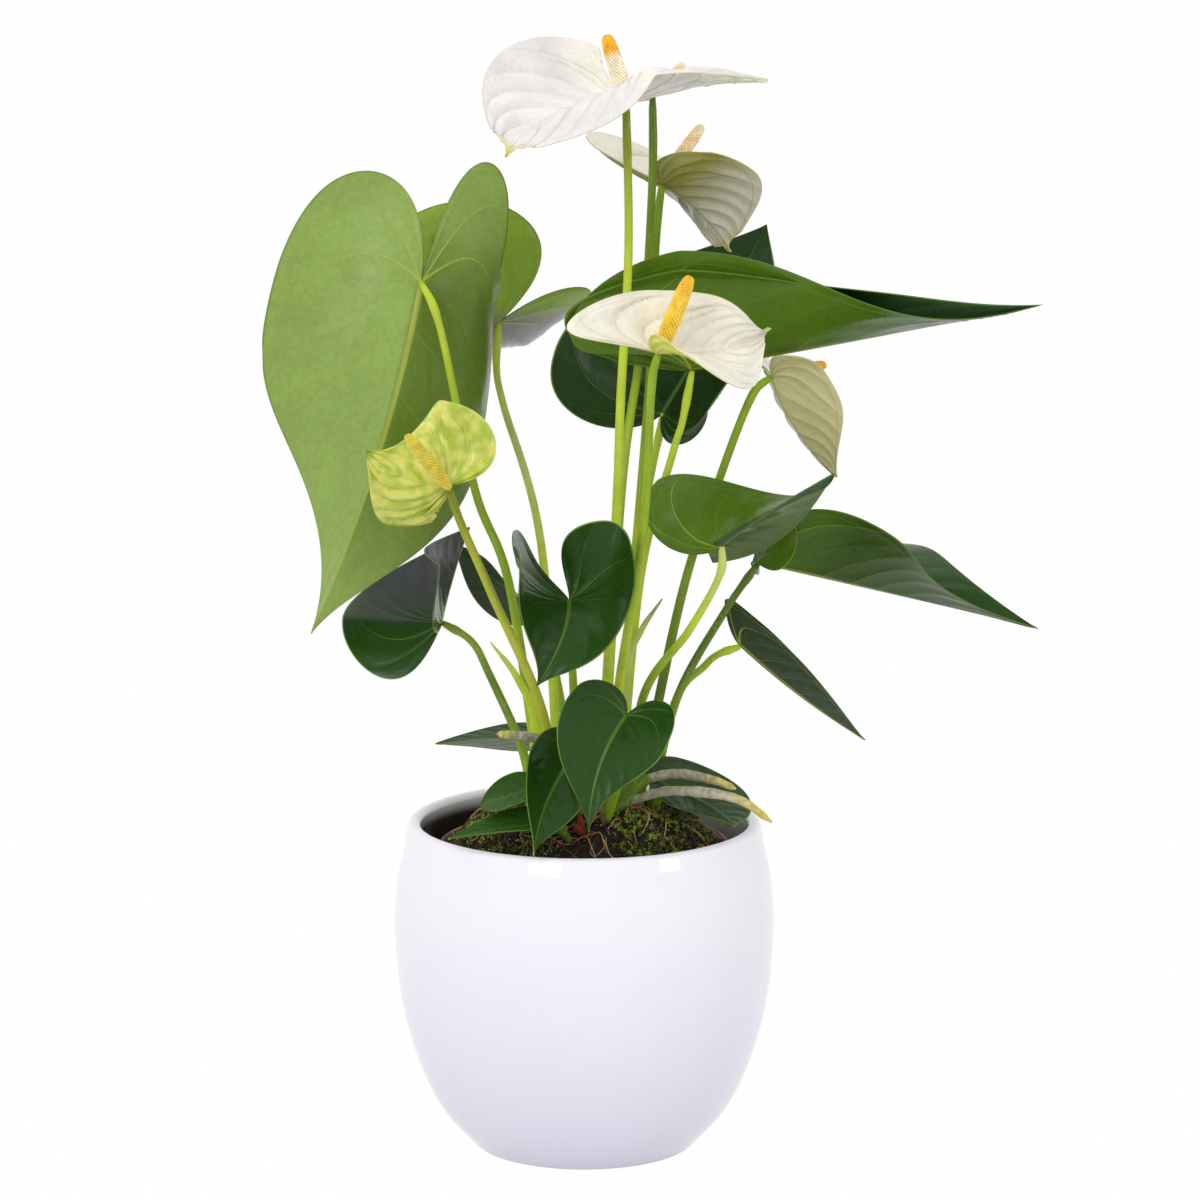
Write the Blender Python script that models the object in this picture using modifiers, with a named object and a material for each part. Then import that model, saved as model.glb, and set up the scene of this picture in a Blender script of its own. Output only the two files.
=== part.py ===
"""Potted anthurium: a flowering plant in its grow pot, standing in a rounded glazed cache-pot.

Units are metres and +Z is up. The origin is the centre of the cache-pot's base, on the surface
that it stands on. The pot's front faces -Y.

Each leaf and each flower's spathe is one heart-shaped blade. A blade is set by where its stalk
joins it, where its tip is, which way its upper side faces, and how it folds, curls and arches.
Left and right on a blade are as seen from above it, looking from the junction to the tip.
"""

import math

import bmesh
import bpy
import numpy as np
from mathutils import Vector

PART = "potted_anthurium"
SEAT_GAP = 0.0003

# Cache-pot: outer profile as (radius, height), from the base up to the lip.
POT_BASE_RADIUS = 0.0455
POT_HEIGHT = 0.1375
POT_WALL = 0.0055
POT_FLOOR = 0.0060
POT_SIDE = (
    (0.0470, 0.0010),
    (0.0604, 0.0165),
    (0.0700, 0.0370),
    (0.0765, 0.0620),
    (0.0790, 0.0900),
    (0.0780, 0.1110),
    (0.0745, 0.1280),
)
POT_LIP_RADIUS = 0.0029
POT_LIP_INSET = 0.0012
POT_FLOOR_INSET = 0.0070
POT_STEPS = 40

# Grow pot and the soil in it.
GROW_POT_BASE_RADIUS = 0.0440
GROW_POT_RIM_RADIUS = 0.0600
GROW_POT_WALL = 0.0010
GROW_POT_TOP = 0.1275
GROW_POT_FOOT = POT_FLOOR + SEAT_GAP
SOIL_EDGE = 0.1250
SOIL_TOP = 0.1275
SOIL_FLAT_RADIUS = 0.0420
GROW_POT_STEPS = 32

# Blades.
BLADE_THICKNESS = 0.0006
VEIN_LEAD = 0.60
SHOULDER_REACH = 0.38
SPINE_STEPS = 24
BLADE_RAYS = 15
BLADE_COLUMNS = (0.0, 0.4, 0.75, 1.0)
LEAF_SHAPE = dict(
    lobe=(0.28, 0.28),
    sinus=0.10,
    shoulder=0.12,
    taper=(0.80, 0.30),
    fold=(15, 15),
    curl=(10, 10),
    lift=(0, 0),
    arch=15,
    sweep=0,
    twist=0,
)

LEAVES = {
    "tall_left": dict(
        junction=(-0.066, -0.005, 0.362),
        tip=(-0.113, 0.004, 0.215),
        faces=(0.06, 1.00, 0.04),
        width=0.125,
        lobe=(0.28, 0.44),
        sinus=0.09,
        shoulder=0.19,
        taper=(0.70, 0.17),
        fold=(29, 13),
        curl=(-50, 90),
        lift=(-17, -59),
        arch=-40,
        sweep=16,
        twist=32,
        stalk=(
            (-0.016, -0.012),
            (-0.030, -0.016, 0.237),
            (-0.044, -0.022, 0.279),
            (-0.058, -0.018, 0.345),
        ),
    ),
    "tall_back": dict(
        junction=(-0.036, 0.062, 0.337),
        tip=(-0.080, 0.068, 0.310),
        faces=(-0.02, 0.97, 0.23),
        width=0.122,
        lobe=(0.77, 0.86),
        sinus=0.06,
        taper=(0.47, 0.09),
        fold=(-17, 28),
        curl=(63, 67),
        lift=(-37, -22),
        arch=-19,
        sweep=15,
        twist=-67,
        stalk=(
            (-0.010, 0.010),
            (-0.018, 0.034, 0.247),
            (-0.034, 0.050, 0.304),
            (-0.037, 0.055, 0.320),
        ),
    ),
    "tall_right": dict(
        junction=(0.0443, 0.008, 0.3239),
        tip=(0.189, 0.019, 0.350),
        faces=(-0.14, -0.36, 0.92),
        width=0.109,
        lobe=(0.34, 0.09),
        sinus=0.25,
        shoulder=0.02,
        taper=(0.53, 0.37),
        fold=(50, 80),
        curl=(90, 29),
        lift=(-3, 73),
        arch=-1,
        sweep=1,
        twist=71,
        stalk=(
            (0.014, 0.002),
            (0.0231, 0.0089, 0.2364),
            (0.0362, 0.0072, 0.289),
            (0.0403, 0.0063, 0.3029),
        ),
    ),
    "shaded_back": dict(
        junction=(0.0331, 0.055, 0.2996),
        tip=(0.0774, 0.087, 0.376),
        faces=(-0.31, -0.80, 0.52),
        width=0.109,
        lobe=(0.19, 0.18),
        sinus=0.13,
        shoulder=0.08,
        taper=(0.80, 0.25),
        fold=(13, 25),
        curl=(11, 43),
        lift=(12, -28),
        arch=0,
        sweep=5,
        twist=14,
        stalk=(
            (0.010, 0.022),
            (0.0221, 0.0465, 0.2389),
        ),
    ),
    "long_right": dict(
        junction=(0.072, 0.012, 0.243),
        tip=(0.187, -0.001, 0.218),
        faces=(0.24, 0.40, 0.89),
        width=0.090,
        lobe=(0.04, 0.03),
        sinus=0.08,
        shoulder=0.30,
        taper=(0.46, 0.44),
        fold=(52, 32),
        curl=(-50, -1),
        lift=(-54, -58),
        arch=13,
        sweep=-48,
        twist=37,
        stalk=(
            (0.027, 0.004),
            (0.038, 0.006, 0.186),
            (0.058, 0.009, 0.223),
        ),
    ),
    "cupped_right": dict(
        junction=(0.0557, -0.040, 0.2591),
        tip=(0.101, -0.028, 0.287),
        faces=(-0.31, 0.94, 0.10),
        width=0.095,
        lobe=(0.28, 0.13),
        sinus=0.34,
        shoulder=0.04,
        taper=(0.98, 0.17),
        fold=(83, 85),
        curl=(88, 66),
        lift=(1, -40),
        arch=5,
        sweep=8,
        twist=-49,
        stalk=(
            (0.020, -0.009),
            (0.0239, -0.0158, 0.1912),
            (0.0428, -0.0287, 0.2227),
            (0.0547, -0.0389, 0.2469),
        ),
    ),
    "drooping_left": dict(
        junction=(-0.059, 0.018, 0.217),
        tip=(-0.048, 0.038, 0.254),
        faces=(-0.65, -0.57, 0.50),
        width=0.086,
        lobe=(0.67, 0.35),
        sinus=0.17,
        shoulder=0.06,
        taper=(0.79, 0.28),
        fold=(23, 57),
        curl=(18, -11),
        lift=(-17, -4),
        arch=-15,
        sweep=-29,
        twist=-32,
        stalk=(
            (-0.022, 0.0),
            (-0.025, 0.003, 0.164),
            (-0.040, 0.010, 0.198),
            (-0.047, 0.014, 0.210),
        ),
    ),
    "grey_back": dict(
        junction=(-0.024, 0.044, 0.221),
        tip=(-0.056, 0.049, 0.246),
        faces=(-0.33, -0.91, -0.25),
        width=0.028,
        lobe=(0.11, 0.06),
        sinus=0.16,
        shoulder=0.18,
        taper=(0.77, 0.27),
        fold=(2, 56),
        curl=(11, 18),
        lift=(9, -14),
        arch=-4,
        sweep=-15,
        twist=50,
        stalk_gap=0.0008,
        stalk=(
            (-0.004, 0.026),
            (-0.012, 0.041, 0.190),
        ),
    ),
    "centre": dict(
        junction=(-0.006, -0.046, 0.238),
        tip=(-0.019, -0.073, 0.208),
        faces=(-0.67, -0.38, 0.64),
        width=0.078,
        lobe=(0.60, 0.25),
        sinus=0.07,
        shoulder=0.13,
        taper=(0.63, 0.12),
        fold=(-31, 52),
        curl=(76, 80),
        lift=(102, 55),
        arch=9,
        sweep=-65,
        twist=-24,
        stalk=(
            (-0.003, -0.008),
            (-0.004, -0.024, 0.190),
        ),
    ),
    "front_heart": dict(
        junction=(0.017, -0.052, 0.192),
        tip=(0.002, -0.073, 0.148),
        faces=(-0.05, -0.89, 0.45),
        width=0.048,
        lobe=(0.26, 0.15),
        sinus=0.16,
        shoulder=0.14,
        taper=(0.66, 0.06),
        fold=(23, 3),
        curl=(-2, 19),
        lift=(-10, -11),
        arch=8,
        sweep=35,
        twist=-11,
        stalk=(
            (0.007, -0.031),
            (0.015, -0.037, 0.165),
        ),
    ),
    "over_rim": dict(
        junction=(-0.002, -0.042, 0.176),
        tip=(-0.020, -0.077, 0.140),
        faces=(-0.13, -0.68, 0.72),
        width=0.036,
        lobe=(0.03, 0.07),
        sinus=0.17,
        shoulder=0.25,
        taper=(0.71, 0.12),
        fold=(29, -1),
        curl=(37, 55),
        lift=(-45, -5),
        arch=-23,
        sweep=43,
        twist=-80,
        stalk=(
            (-0.004, -0.018),
            (0.0, -0.030, 0.158),
        ),
    ),
    "low_oval": dict(
        junction=(-0.015, -0.036, 0.1605),
        tip=(-0.042, -0.048, 0.154),
        faces=(-0.29, 0.15, 0.94),
        width=0.026,
        lobe=(0.03, 0.03),
        sinus=0.13,
        shoulder=0.31,
        taper=(0.93, 0.64),
        fold=(-56, 11),
        curl=(78, 54),
        arch=5,
        sweep=-31,
        stalk_gap=0.0008,
        stalk=(
            (-0.012, -0.029),
        ),
    ),
    "low_left": dict(
        junction=(-0.012, -0.0485, 0.146),
        tip=(-0.055, -0.0565, 0.1422),
        faces=(-0.10, -0.30, 1.00),
        width=0.022,
        lobe=(0.10, 0.10),
        stalk=(
            (-0.006, -0.038),
        ),
    ),
    "low_rear": dict(
        junction=(-0.020, 0.022, 0.165),
        tip=(-0.063, 0.038, 0.161),
        faces=(0.00, -0.20, 1.00),
        width=0.030,
        lobe=(0.10, 0.10),
        fold=(5, 5),
        curl=(5, 5),
        stalk=(
            (-0.018, 0.013),
        ),
    ),
    "low_right": dict(
        junction=(0.033, -0.010, 0.154),
        tip=(0.061, -0.038, 0.143),
        faces=(0.19, -0.18, 0.97),
        width=0.032,
        lobe=(0.26, 0.11),
        sinus=0.06,
        shoulder=0.39,
        taper=(0.91, 0.60),
        fold=(29, 7),
        curl=(7, -14),
        lift=(-9, 6),
        arch=-13,
        sweep=-69,
        twist=-4,
        stalk=(
            (0.027, -0.007),
        ),
    ),
    "narrow_right": dict(
        junction=(0.065, 0.022, 0.206),
        tip=(0.117, 0.013, 0.168),
        faces=(0.58, -0.08, 0.81),
        width=0.030,
        lobe=(0.22, 0.22),
        sinus=0.12,
        shoulder=0.10,
        taper=(0.78, 0.33),
        fold=(48, 76),
        curl=(9, -17),
        lift=(35, 35),
        arch=-12,
        sweep=1,
        twist=-12,
        stalk=(
            (0.027, 0.011),
            (0.038, 0.016, 0.184),
            (0.050, 0.020, 0.198),
            (0.056, 0.021, 0.203),
        ),
    ),
}

FLOWERS = {
    "top": dict(
        junction=(0.017, -0.014, 0.436),
        tip=(-0.031, -0.054, 0.417),
        faces=(-0.31, -0.10, 0.95),
        width=0.098,
        lobe=(0.43, 0.11),
        sinus=0.14,
        shoulder=0.06,
        taper=(0.80, 0.40),
        fold=(36, -3),
        curl=(-52, 70),
        lift=(-13, -31),
        arch=38,
        sweep=48,
        twist=-46,
        spadix=(0.009, -0.008, 0.462),
        stalk=(
            (0.006, -0.002),
            (0.013, -0.018, 0.2643),
            (0.0149, -0.025, 0.3167),
            (0.018, -0.022, 0.3769),
        ),
    ),
    "rear": dict(
        junction=(0.028, 0.020, 0.435),
        tip=(0.075, 0.018, 0.442),
        faces=(0.00, 0.00, 1.00),
        width=0.046,
        lobe=(0.20, 0.20),
        spadix=(0.041, 0.024, 0.4485),
        spadix_radius=0.0020,
        stalk=(
            (0.007, 0.007),
            (0.015, 0.008, 0.270),
            (0.0223, 0.026, 0.3224),
            (0.0253, 0.027, 0.3477),
            (0.0281, 0.022, 0.4039),
        ),
    ),
    "upper": dict(
        junction=(0.032, 0.034, 0.398),
        tip=(0.061, 0.042, 0.369),
        faces=(-0.07, 0.97, 0.22),
        width=0.069,
        lobe=(0.55, 0.28),
        sinus=0.07,
        shoulder=0.40,
        taper=(0.76, 0.47),
        fold=(57, -28),
        curl=(73, -6),
        lift=(25, 31),
        arch=33,
        sweep=24,
        twist=-8,
        spadix=(0.049, 0.050, 0.421),
        spadix_radius=0.0028,
        stalk=(
            (0.012, 0.014),
            (0.026, 0.036, 0.300),
            (0.0285, 0.037, 0.350),
            (0.030, 0.035, 0.380),
        ),
    ),
    "middle": dict(
        junction=(0.0297, -0.068, 0.3413),
        tip=(0.075, -0.035, 0.347),
        faces=(-0.19, 0.09, 0.98),
        width=0.051,
        lobe=(0.80, 0.19),
        sinus=0.22,
        shoulder=0.30,
        taper=(0.71, 0.26),
        fold=(73, 10),
        curl=(35, -40),
        lift=(-16, 50),
        arch=-33,
        sweep=6,
        twist=77,
        spadix=(0.0414, -0.086, 0.3733),
        spadix_radius=0.0034,
        stalk=(
            (0.008, -0.013),
            (0.014, -0.0238, 0.1962),
            (0.0239, -0.0457, 0.2669),
            (0.0269, -0.0638, 0.3273),
        ),
    ),
    "hanging": dict(
        junction=(0.077, 0.017, 0.320),
        tip=(0.105, 0.026, 0.277),
        faces=(0.36, 0.84, 0.41),
        width=0.050,
        lobe=(0.14, 0.29),
        sinus=0.09,
        shoulder=0.31,
        taper=(0.80, 0.46),
        fold=(43, -4),
        curl=(49, 23),
        lift=(-32, -45),
        arch=7,
        sweep=-41,
        twist=2,
        spadix=(0.100, 0.027, 0.324),
        spadix_radius=0.0027,
        stalk=(
            (0.021, -0.002),
            (0.040, 0.012, 0.228),
            (0.056, 0.016, 0.278),
            (0.069, 0.017, 0.312),
        ),
    ),
    "green": dict(
        junction=(-0.054, -0.060, 0.287),
        tip=(-0.086, -0.065, 0.302),
        faces=(0.14, -0.99, -0.02),
        width=0.068,
        lobe=(0.06, 0.57),
        sinus=0.09,
        shoulder=0.18,
        taper=(0.61, 0.34),
        fold=(-34, -18),
        curl=(-30, 8),
        lift=(35, 15),
        arch=19,
        sweep=-44,
        twist=15,
        spadix=(-0.069, -0.086, 0.311),
        spadix_radius=0.0028,
        stalk_gap=0.0010,
        stalk=(
            (-0.014, -0.020),
            (-0.016, -0.027, 0.185),
            (-0.037, -0.042, 0.240),
            (-0.0485, -0.0465, 0.268),
        ),
    ),
}

SHEATHS = {
    "sheath_right": (
        (0.0135, -0.0055),
        (0.017, -0.009, 0.199),
        (0.023, -0.009, 0.218),
        (0.032, -0.009, 0.232),
    ),
    "sheath_left": (
        (-0.020, -0.020),
        (-0.0195, -0.0225, 0.180),
        (-0.027, -0.026, 0.202),
        (-0.038, -0.030, 0.218),
    ),
}
SHEATH_RADII = (0.0020, 0.0022, 0.0004)

AERIAL_ROOTS = {
    "aerial_root_back": (
        (0.0202, -0.0197, 0.157),
        (0.036, -0.020, 0.161),
        (0.052, -0.026, 0.160),
        (0.062, -0.030, 0.157),
    ),
    "aerial_root_long": (
        (0.0189, -0.0256, 0.151),
        (0.036, -0.036, 0.1575),
        (0.061, -0.047, 0.157),
        (0.076, -0.051, 0.148),
    ),
    "aerial_root_left": (
        (-0.0169, -0.0282, 0.177),
        (-0.021, -0.035, 0.1795),
        (-0.035, -0.044, 0.183),
    ),
}
ROOT_RADII = (0.0017, 0.0019, 0.0010)

STEM_BASE = ((0.013, -0.022), (0.014, -0.022, 0.145), (0.016, -0.021, 0.162))
STEM_BASE_RADII = (0.0062, 0.0056, 0.0040)

LEAF_STALK_RADII = (0.0022, 0.0018, 0.0014)
FLOWER_STALK_RADII = (0.0022, 0.0019, 0.0016)
SPADIX_RADIUS = 0.0034
SPADIX_LIFT = 0.0015
STALK_FOOT = SOIL_TOP + 0.0005
STALK_POINTS = 8
STEM_BASE_POINTS = 5

COLOURS = {
    "glazed_ceramic": ((0.93, 0.92, 0.97), 0.12),
    "grow_pot": ((0.28, 0.10, 0.06), 0.55),
    "soil": ((0.035, 0.024, 0.016), 0.95),
    "leaf_blade": ((0.03, 0.12, 0.03), 0.35),
    "leaf_stalk": ((0.32, 0.50, 0.10), 0.40),
    "flower_stalk": ((0.40, 0.58, 0.10), 0.40),
    "spathe": ((0.90, 0.90, 0.80), 0.35),
    "spadix": ((0.90, 0.66, 0.18), 0.55),
    "aerial_root": ((0.52, 0.54, 0.40), 0.70),
}


def clear_scene():
    for thing in list(bpy.data.objects):
        bpy.data.objects.remove(thing, do_unlink=True)


def make_materials():
    materials = {}
    for name, (colour, roughness) in COLOURS.items():
        material = bpy.data.materials.new(name)
        material.use_nodes = True
        surface = material.node_tree.nodes["Principled BSDF"]
        surface.inputs["Base Color"].default_value = (*colour, 1.0)
        surface.inputs["Roughness"].default_value = roughness
        surface.inputs["Metallic"].default_value = 0.0
        materials[name] = material
    return materials


def add_object(name, data, material):
    made = bpy.data.objects.new(name, data)
    data.materials.append(material)
    bpy.data.collections[PART].objects.link(made)
    return made


# --- Turned pieces -------------------------------------------------------------------------------


def turned(name, profile, steps, material):
    """A profile of (radius, height) points, from the top down the outer side, spun about +Z."""
    mesh = bpy.data.meshes.new(name)
    ends = [(radius, 0.0, height) for radius, height in profile]
    mesh.from_pydata(ends, [(i, i + 1) for i in range(len(ends) - 1)], [])
    made = add_object(name, mesh, material)
    spin = made.modifiers.new("Spin", "SCREW")
    spin.steps = steps
    spin.render_steps = steps
    spin.use_merge_vertices = True
    spin.merge_threshold = 0.00002
    spin.use_smooth_shade = True
    return made


def inner_side(wall):
    """The outer profile moved inwards by the wall, level for level."""
    return [(radius - wall, height) for radius, height in POT_SIDE if height > POT_FLOOR + wall]


def lip_arc(steps=6):
    """The rounded lip, from its inner side over the crest to its outer side."""
    outer_radius, _ = POT_SIDE[-1]
    centre = outer_radius - POT_WALL / 2 - POT_LIP_INSET
    for i in range(steps + 1):
        angle = math.pi * (1 - i / steps)
        yield (
            centre + POT_LIP_RADIUS * math.cos(angle),
            POT_HEIGHT - POT_LIP_RADIUS + POT_LIP_RADIUS * math.sin(angle),
        )


def make_cache_pot(materials):
    inner = inner_side(POT_WALL)
    floor_radius = inner[0][0] - POT_FLOOR_INSET
    hollow = [(0.0, POT_FLOOR), (floor_radius, POT_FLOOR), *inner]
    outside = [*reversed(POT_SIDE), (POT_BASE_RADIUS, 0.0), (0.0, 0.0)]
    profile = [*hollow, *lip_arc(), *outside]
    return turned("cache_pot", profile, POT_STEPS, materials["glazed_ceramic"])


def make_grow_pot(materials):
    wall = GROW_POT_WALL
    slope = (GROW_POT_RIM_RADIUS - GROW_POT_BASE_RADIUS) / (GROW_POT_TOP - GROW_POT_FOOT)
    floor = GROW_POT_FOOT + wall
    profile = [
        (0.0, floor),
        (GROW_POT_BASE_RADIUS + slope * wall - wall, floor),
        (GROW_POT_RIM_RADIUS - wall, GROW_POT_TOP),
        (GROW_POT_RIM_RADIUS, GROW_POT_TOP),
        (GROW_POT_BASE_RADIUS, GROW_POT_FOOT),
        (0.0, GROW_POT_FOOT),
    ]
    return turned("grow_pot", profile, GROW_POT_STEPS, materials["grow_pot"])


def make_soil(materials):
    slope = (GROW_POT_RIM_RADIUS - GROW_POT_BASE_RADIUS) / (GROW_POT_TOP - GROW_POT_FOOT)
    inset = GROW_POT_WALL + 2 * SEAT_GAP
    foot = GROW_POT_FOOT + GROW_POT_WALL + SEAT_GAP
    edge_radius = GROW_POT_RIM_RADIUS - inset - slope * (GROW_POT_TOP - SOIL_EDGE)
    profile = [
        (0.0, SOIL_TOP),
        (SOIL_FLAT_RADIUS, SOIL_TOP),
        (edge_radius, SOIL_EDGE),
        (GROW_POT_BASE_RADIUS - inset, foot),
        (0.0, foot),
    ]
    return turned("soil", profile, GROW_POT_STEPS, materials["soil"])


# --- Blades --------------------------------------------------------------------------------------


def bezier(a, b, c, d, t):
    return a * (1 - t) ** 3 + 3 * b * t * (1 - t) ** 2 + 3 * c * t**2 * (1 - t) + d * t**3


def margin(blade, side, s):
    """Half of a heart's outline, from the notch (s = 0) round the basal lobe to the tip (s = 1).

    Gives the place along the midrib, as a share of its length, and the share of the half width.
    """
    lobe = blade["lobe"][0 if side > 0 else 1]
    back = -(lobe + 0.125 * blade["shoulder"]) / 0.75
    lobe_t = np.clip(2 * s, 0, 1)
    side_t = np.clip(2 * s - 1, 0, 1)
    taper_along, taper_out = blade["taper"]
    along_lobe = bezier(0.0, back, back, blade["shoulder"], lobe_t)
    out_lobe = bezier(0.0, blade["sinus"], 1.0, 1.0, lobe_t)
    reach = blade["shoulder"] + SHOULDER_REACH
    along_side = bezier(blade["shoulder"], reach, taper_along, 1.0, side_t)
    out_side = bezier(1.0, 1.0, taper_out, 0.0, side_t)
    return np.where(s < 0.5, along_lobe, along_side), np.where(s < 0.5, out_lobe, out_side)


def normalised(vector):
    vector = np.asarray(vector, float)
    return vector / np.linalg.norm(vector)


def spine(blade):
    """Places and frames (along, across, up) down a midrib of length 1, as it arches and sweeps."""
    share = np.linspace(0, 1, SPINE_STEPS + 1)
    arch, sweep, twist = (np.radians(blade[bend]) * share for bend in ("arch", "sweep", "twist"))
    along = np.stack([np.cos(sweep) * np.cos(arch), np.sin(sweep) * np.cos(arch), -np.sin(arch)], 1)
    level = np.stack([-np.sin(sweep), np.cos(sweep), 0 * share], 1)
    upright = np.cross(along, level)
    across = level * np.cos(twist)[:, None] + upright * np.sin(twist)[:, None]
    up = np.cross(along, across)
    middles = (along[1:] + along[:-1]) / 2
    places = np.concatenate([np.zeros((1, 3)), np.cumsum(middles, 0) / SPINE_STEPS])
    return share, places, across, up


def blade_placing(blade):
    """The midrib's length and the rotation that puts the blade's tip and upper side in place."""
    _, places, _, _ = spine(blade)
    reach = places[-1]
    chord = np.subtract(blade["tip"], blade["junction"])
    length = np.linalg.norm(chord) / np.linalg.norm(reach)
    frames = []
    for forward, face in ((reach, (0, 0, 1)), (chord, blade["faces"])):
        forward = normalised(forward)
        up = normalised(face - np.dot(face, forward) * forward)
        frames.append(np.stack([forward, np.cross(up, forward), up]))
    return length, frames[0].T @ frames[1]


def blade_points(blade, side, s, r):
    """Points of a half blade's lower face. s runs along the margin and r from the midrib out."""
    index = 0 if side > 0 else 1
    fold, curl, lift = (math.radians(blade[bend][index]) for bend in ("fold", "curl", "lift"))
    length, rotation = blade_placing(blade)
    half = blade["width"] / 2
    margin_along, margin_out = margin(blade, side, s)
    margin_along = margin_along * length
    margin_out = margin_out * half
    centre = np.clip(margin_along - VEIN_LEAD * margin_out, 0, length)
    x = centre + r * (margin_along - centre)
    out = r * margin_out
    curl = curl if abs(curl) > 1e-4 else 1e-4
    angle = fold + curl * out / half
    run = half * (np.sin(angle) - math.sin(fold)) / curl
    rise = half * (math.cos(fold) - np.cos(angle)) / curl
    lift = lift if abs(lift) > 1e-4 else 1e-4
    lobe_length = blade["lobe"][index] * length
    behind = np.clip(-x, 0, None)
    lift_angle = lift * behind / lobe_length
    back = -lobe_length * np.sin(lift_angle) / lift - rise * np.sin(lift_angle)
    raised = lobe_length * (1 - np.cos(lift_angle)) / lift + rise * np.cos(lift_angle)
    lobe = np.stack([back, side * run, raised], -1)
    share, places, across, up = spine(blade)
    at = np.clip(x / length, 0, 1)

    def along_spine(values):
        return np.stack([np.interp(at, share, values[:, axis]) for axis in range(3)], -1)

    front = along_spine(places) * length
    front = front + along_spine(across) * (side * run)[..., None]
    front = front + along_spine(up) * rise[..., None]
    local = np.where((x < 0)[..., None], lobe, front)
    return local @ rotation + np.array(blade["junction"])


def make_blade(name, blade, material):
    """A blade is a loft from the midrib to the margin, given its thickness by Solidify."""
    form = bmesh.new()
    s, r = np.meshgrid(np.linspace(0, 1, BLADE_RAYS), BLADE_COLUMNS, indexing="ij")
    for side in (1, -1):
        points = blade_points(blade, side, s, r)
        grid = [[form.verts.new(point) for point in ray] for ray in points]
        for first, second in zip(grid, grid[1:]):
            for j in range(len(BLADE_COLUMNS) - 1):
                corners = [first[j], first[j + 1], second[j + 1], second[j]]
                form.faces.new(corners if side > 0 else reversed(corners))
    bmesh.ops.remove_doubles(form, verts=form.verts, dist=0.00001)
    bmesh.ops.triangulate(form, faces=[face for face in form.faces if len(face.verts) > 3])
    mesh = bpy.data.meshes.new(name)
    form.to_mesh(mesh)
    form.free()
    mesh.shade_smooth()
    made = add_object(name, mesh, material)
    shell = made.modifiers.new("Thickness", "SOLIDIFY")
    shell.thickness = BLADE_THICKNESS
    shell.offset = -1
    shell.use_rim = True
    return made


# --- Stalks, spadices and roots ------------------------------------------------------------------


def smooth_path(points, count):
    """Evenly spread points on the smooth curve through the given ones."""
    points = [Vector(point) for point in points]
    ends = [2 * points[0] - points[1], *points, 2 * points[-1] - points[-2]]
    dense = []
    for before, start, stop, after in zip(ends, ends[1:], ends[2:], ends[3:]):
        for i in range(12):
            t = i / 12
            dense.append(
                0.5
                * (
                    2 * start
                    + (stop - before) * t
                    + (2 * before - 5 * start + 4 * stop - after) * t**2
                    + (3 * start - before - 3 * stop + after) * t**3
                )
            )
    dense.append(points[-1])
    lengths = [0.0]
    for start, stop in zip(dense, dense[1:]):
        lengths.append(lengths[-1] + (stop - start).length)
    wanted = np.linspace(0, lengths[-1], count)
    columns = [np.interp(wanted, lengths, [point[axis] for point in dense]) for axis in range(3)]
    return [Vector(point) for point in zip(*columns)]


def tube(name, path, radii, material):
    """A round rod on the path, whose radius runs through the given values."""
    curve = bpy.data.curves.new(name, "CURVE")
    curve.dimensions = "3D"
    curve.bevel_depth = 1.0
    curve.bevel_resolution = 2
    curve.use_fill_caps = True
    line = curve.splines.new("POLY")
    line.points.add(len(path) - 1)
    shares = np.linspace(0, 1, len(path))
    widths = np.interp(shares, np.linspace(0, 1, len(radii)), radii)
    for point, place, width in zip(line.points, path, widths):
        point.co = (*place, 1.0)
        point.radius = width
    return add_object(name, curve, material)


def seat_under(blade, came_from, radius):
    """Where a stalk's end lies, just under the blade's junction."""
    _, rotation = blade_placing(blade)
    junction = Vector(blade["junction"])
    up = Vector(rotation[2])
    arriving = (junction - Vector(came_from)).normalized()
    tilt = math.sqrt(max(0.0, 1 - arriving.dot(up) ** 2))
    return junction - up * (blade.get("stalk_gap", SEAT_GAP) + radius * tilt)


def make_stalk(name, blade, radii, material):
    foot, *way = blade["stalk"]
    start = (*foot, STALK_FOOT)
    rising = (*foot, SOIL_TOP + 4 * radii[0])
    came_from = way[-1] if way else rising
    path = [start, rising, *way, seat_under(blade, came_from, radii[-1])]
    return tube(name, smooth_path(path, STALK_POINTS), radii, material)


def make_spadix(name, flower, material):
    """A tapering, round-ended club that stands on the spathe's junction."""
    _, rotation = blade_placing(flower)
    radius = flower.get("spadix_radius", SPADIX_RADIUS)
    left_fold, right_fold = flower["fold"]
    lean = math.radians(left_fold - right_fold) / 2
    between_halves = Vector(rotation[2]) * math.cos(lean) - Vector(rotation[1]) * math.sin(lean)
    base = Vector(flower["junction"]) + between_halves * SPADIX_LIFT
    axis = Vector(flower["spadix"]) - base
    outline = (
        (0.00, 0.14),
        (0.06, 0.32),
        (0.16, 0.74),
        (0.32, 1.00),
        (0.60, 0.93),
        (0.85, 0.80),
        (0.94, 0.62),
        (1.00, 0.25),
    )
    path = [base + axis * share for share, _ in outline]
    return tube(name, path, [radius * width for _, width in outline], material)


def make_stem_base(materials):
    """The short stem that the stalks and the aerial roots spring from."""
    foot, *way = STEM_BASE
    path = [(*foot, STALK_FOOT), *way]
    path = smooth_path(path, STEM_BASE_POINTS)
    return tube("stem_base", path, STEM_BASE_RADII, materials["leaf_stalk"])


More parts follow.
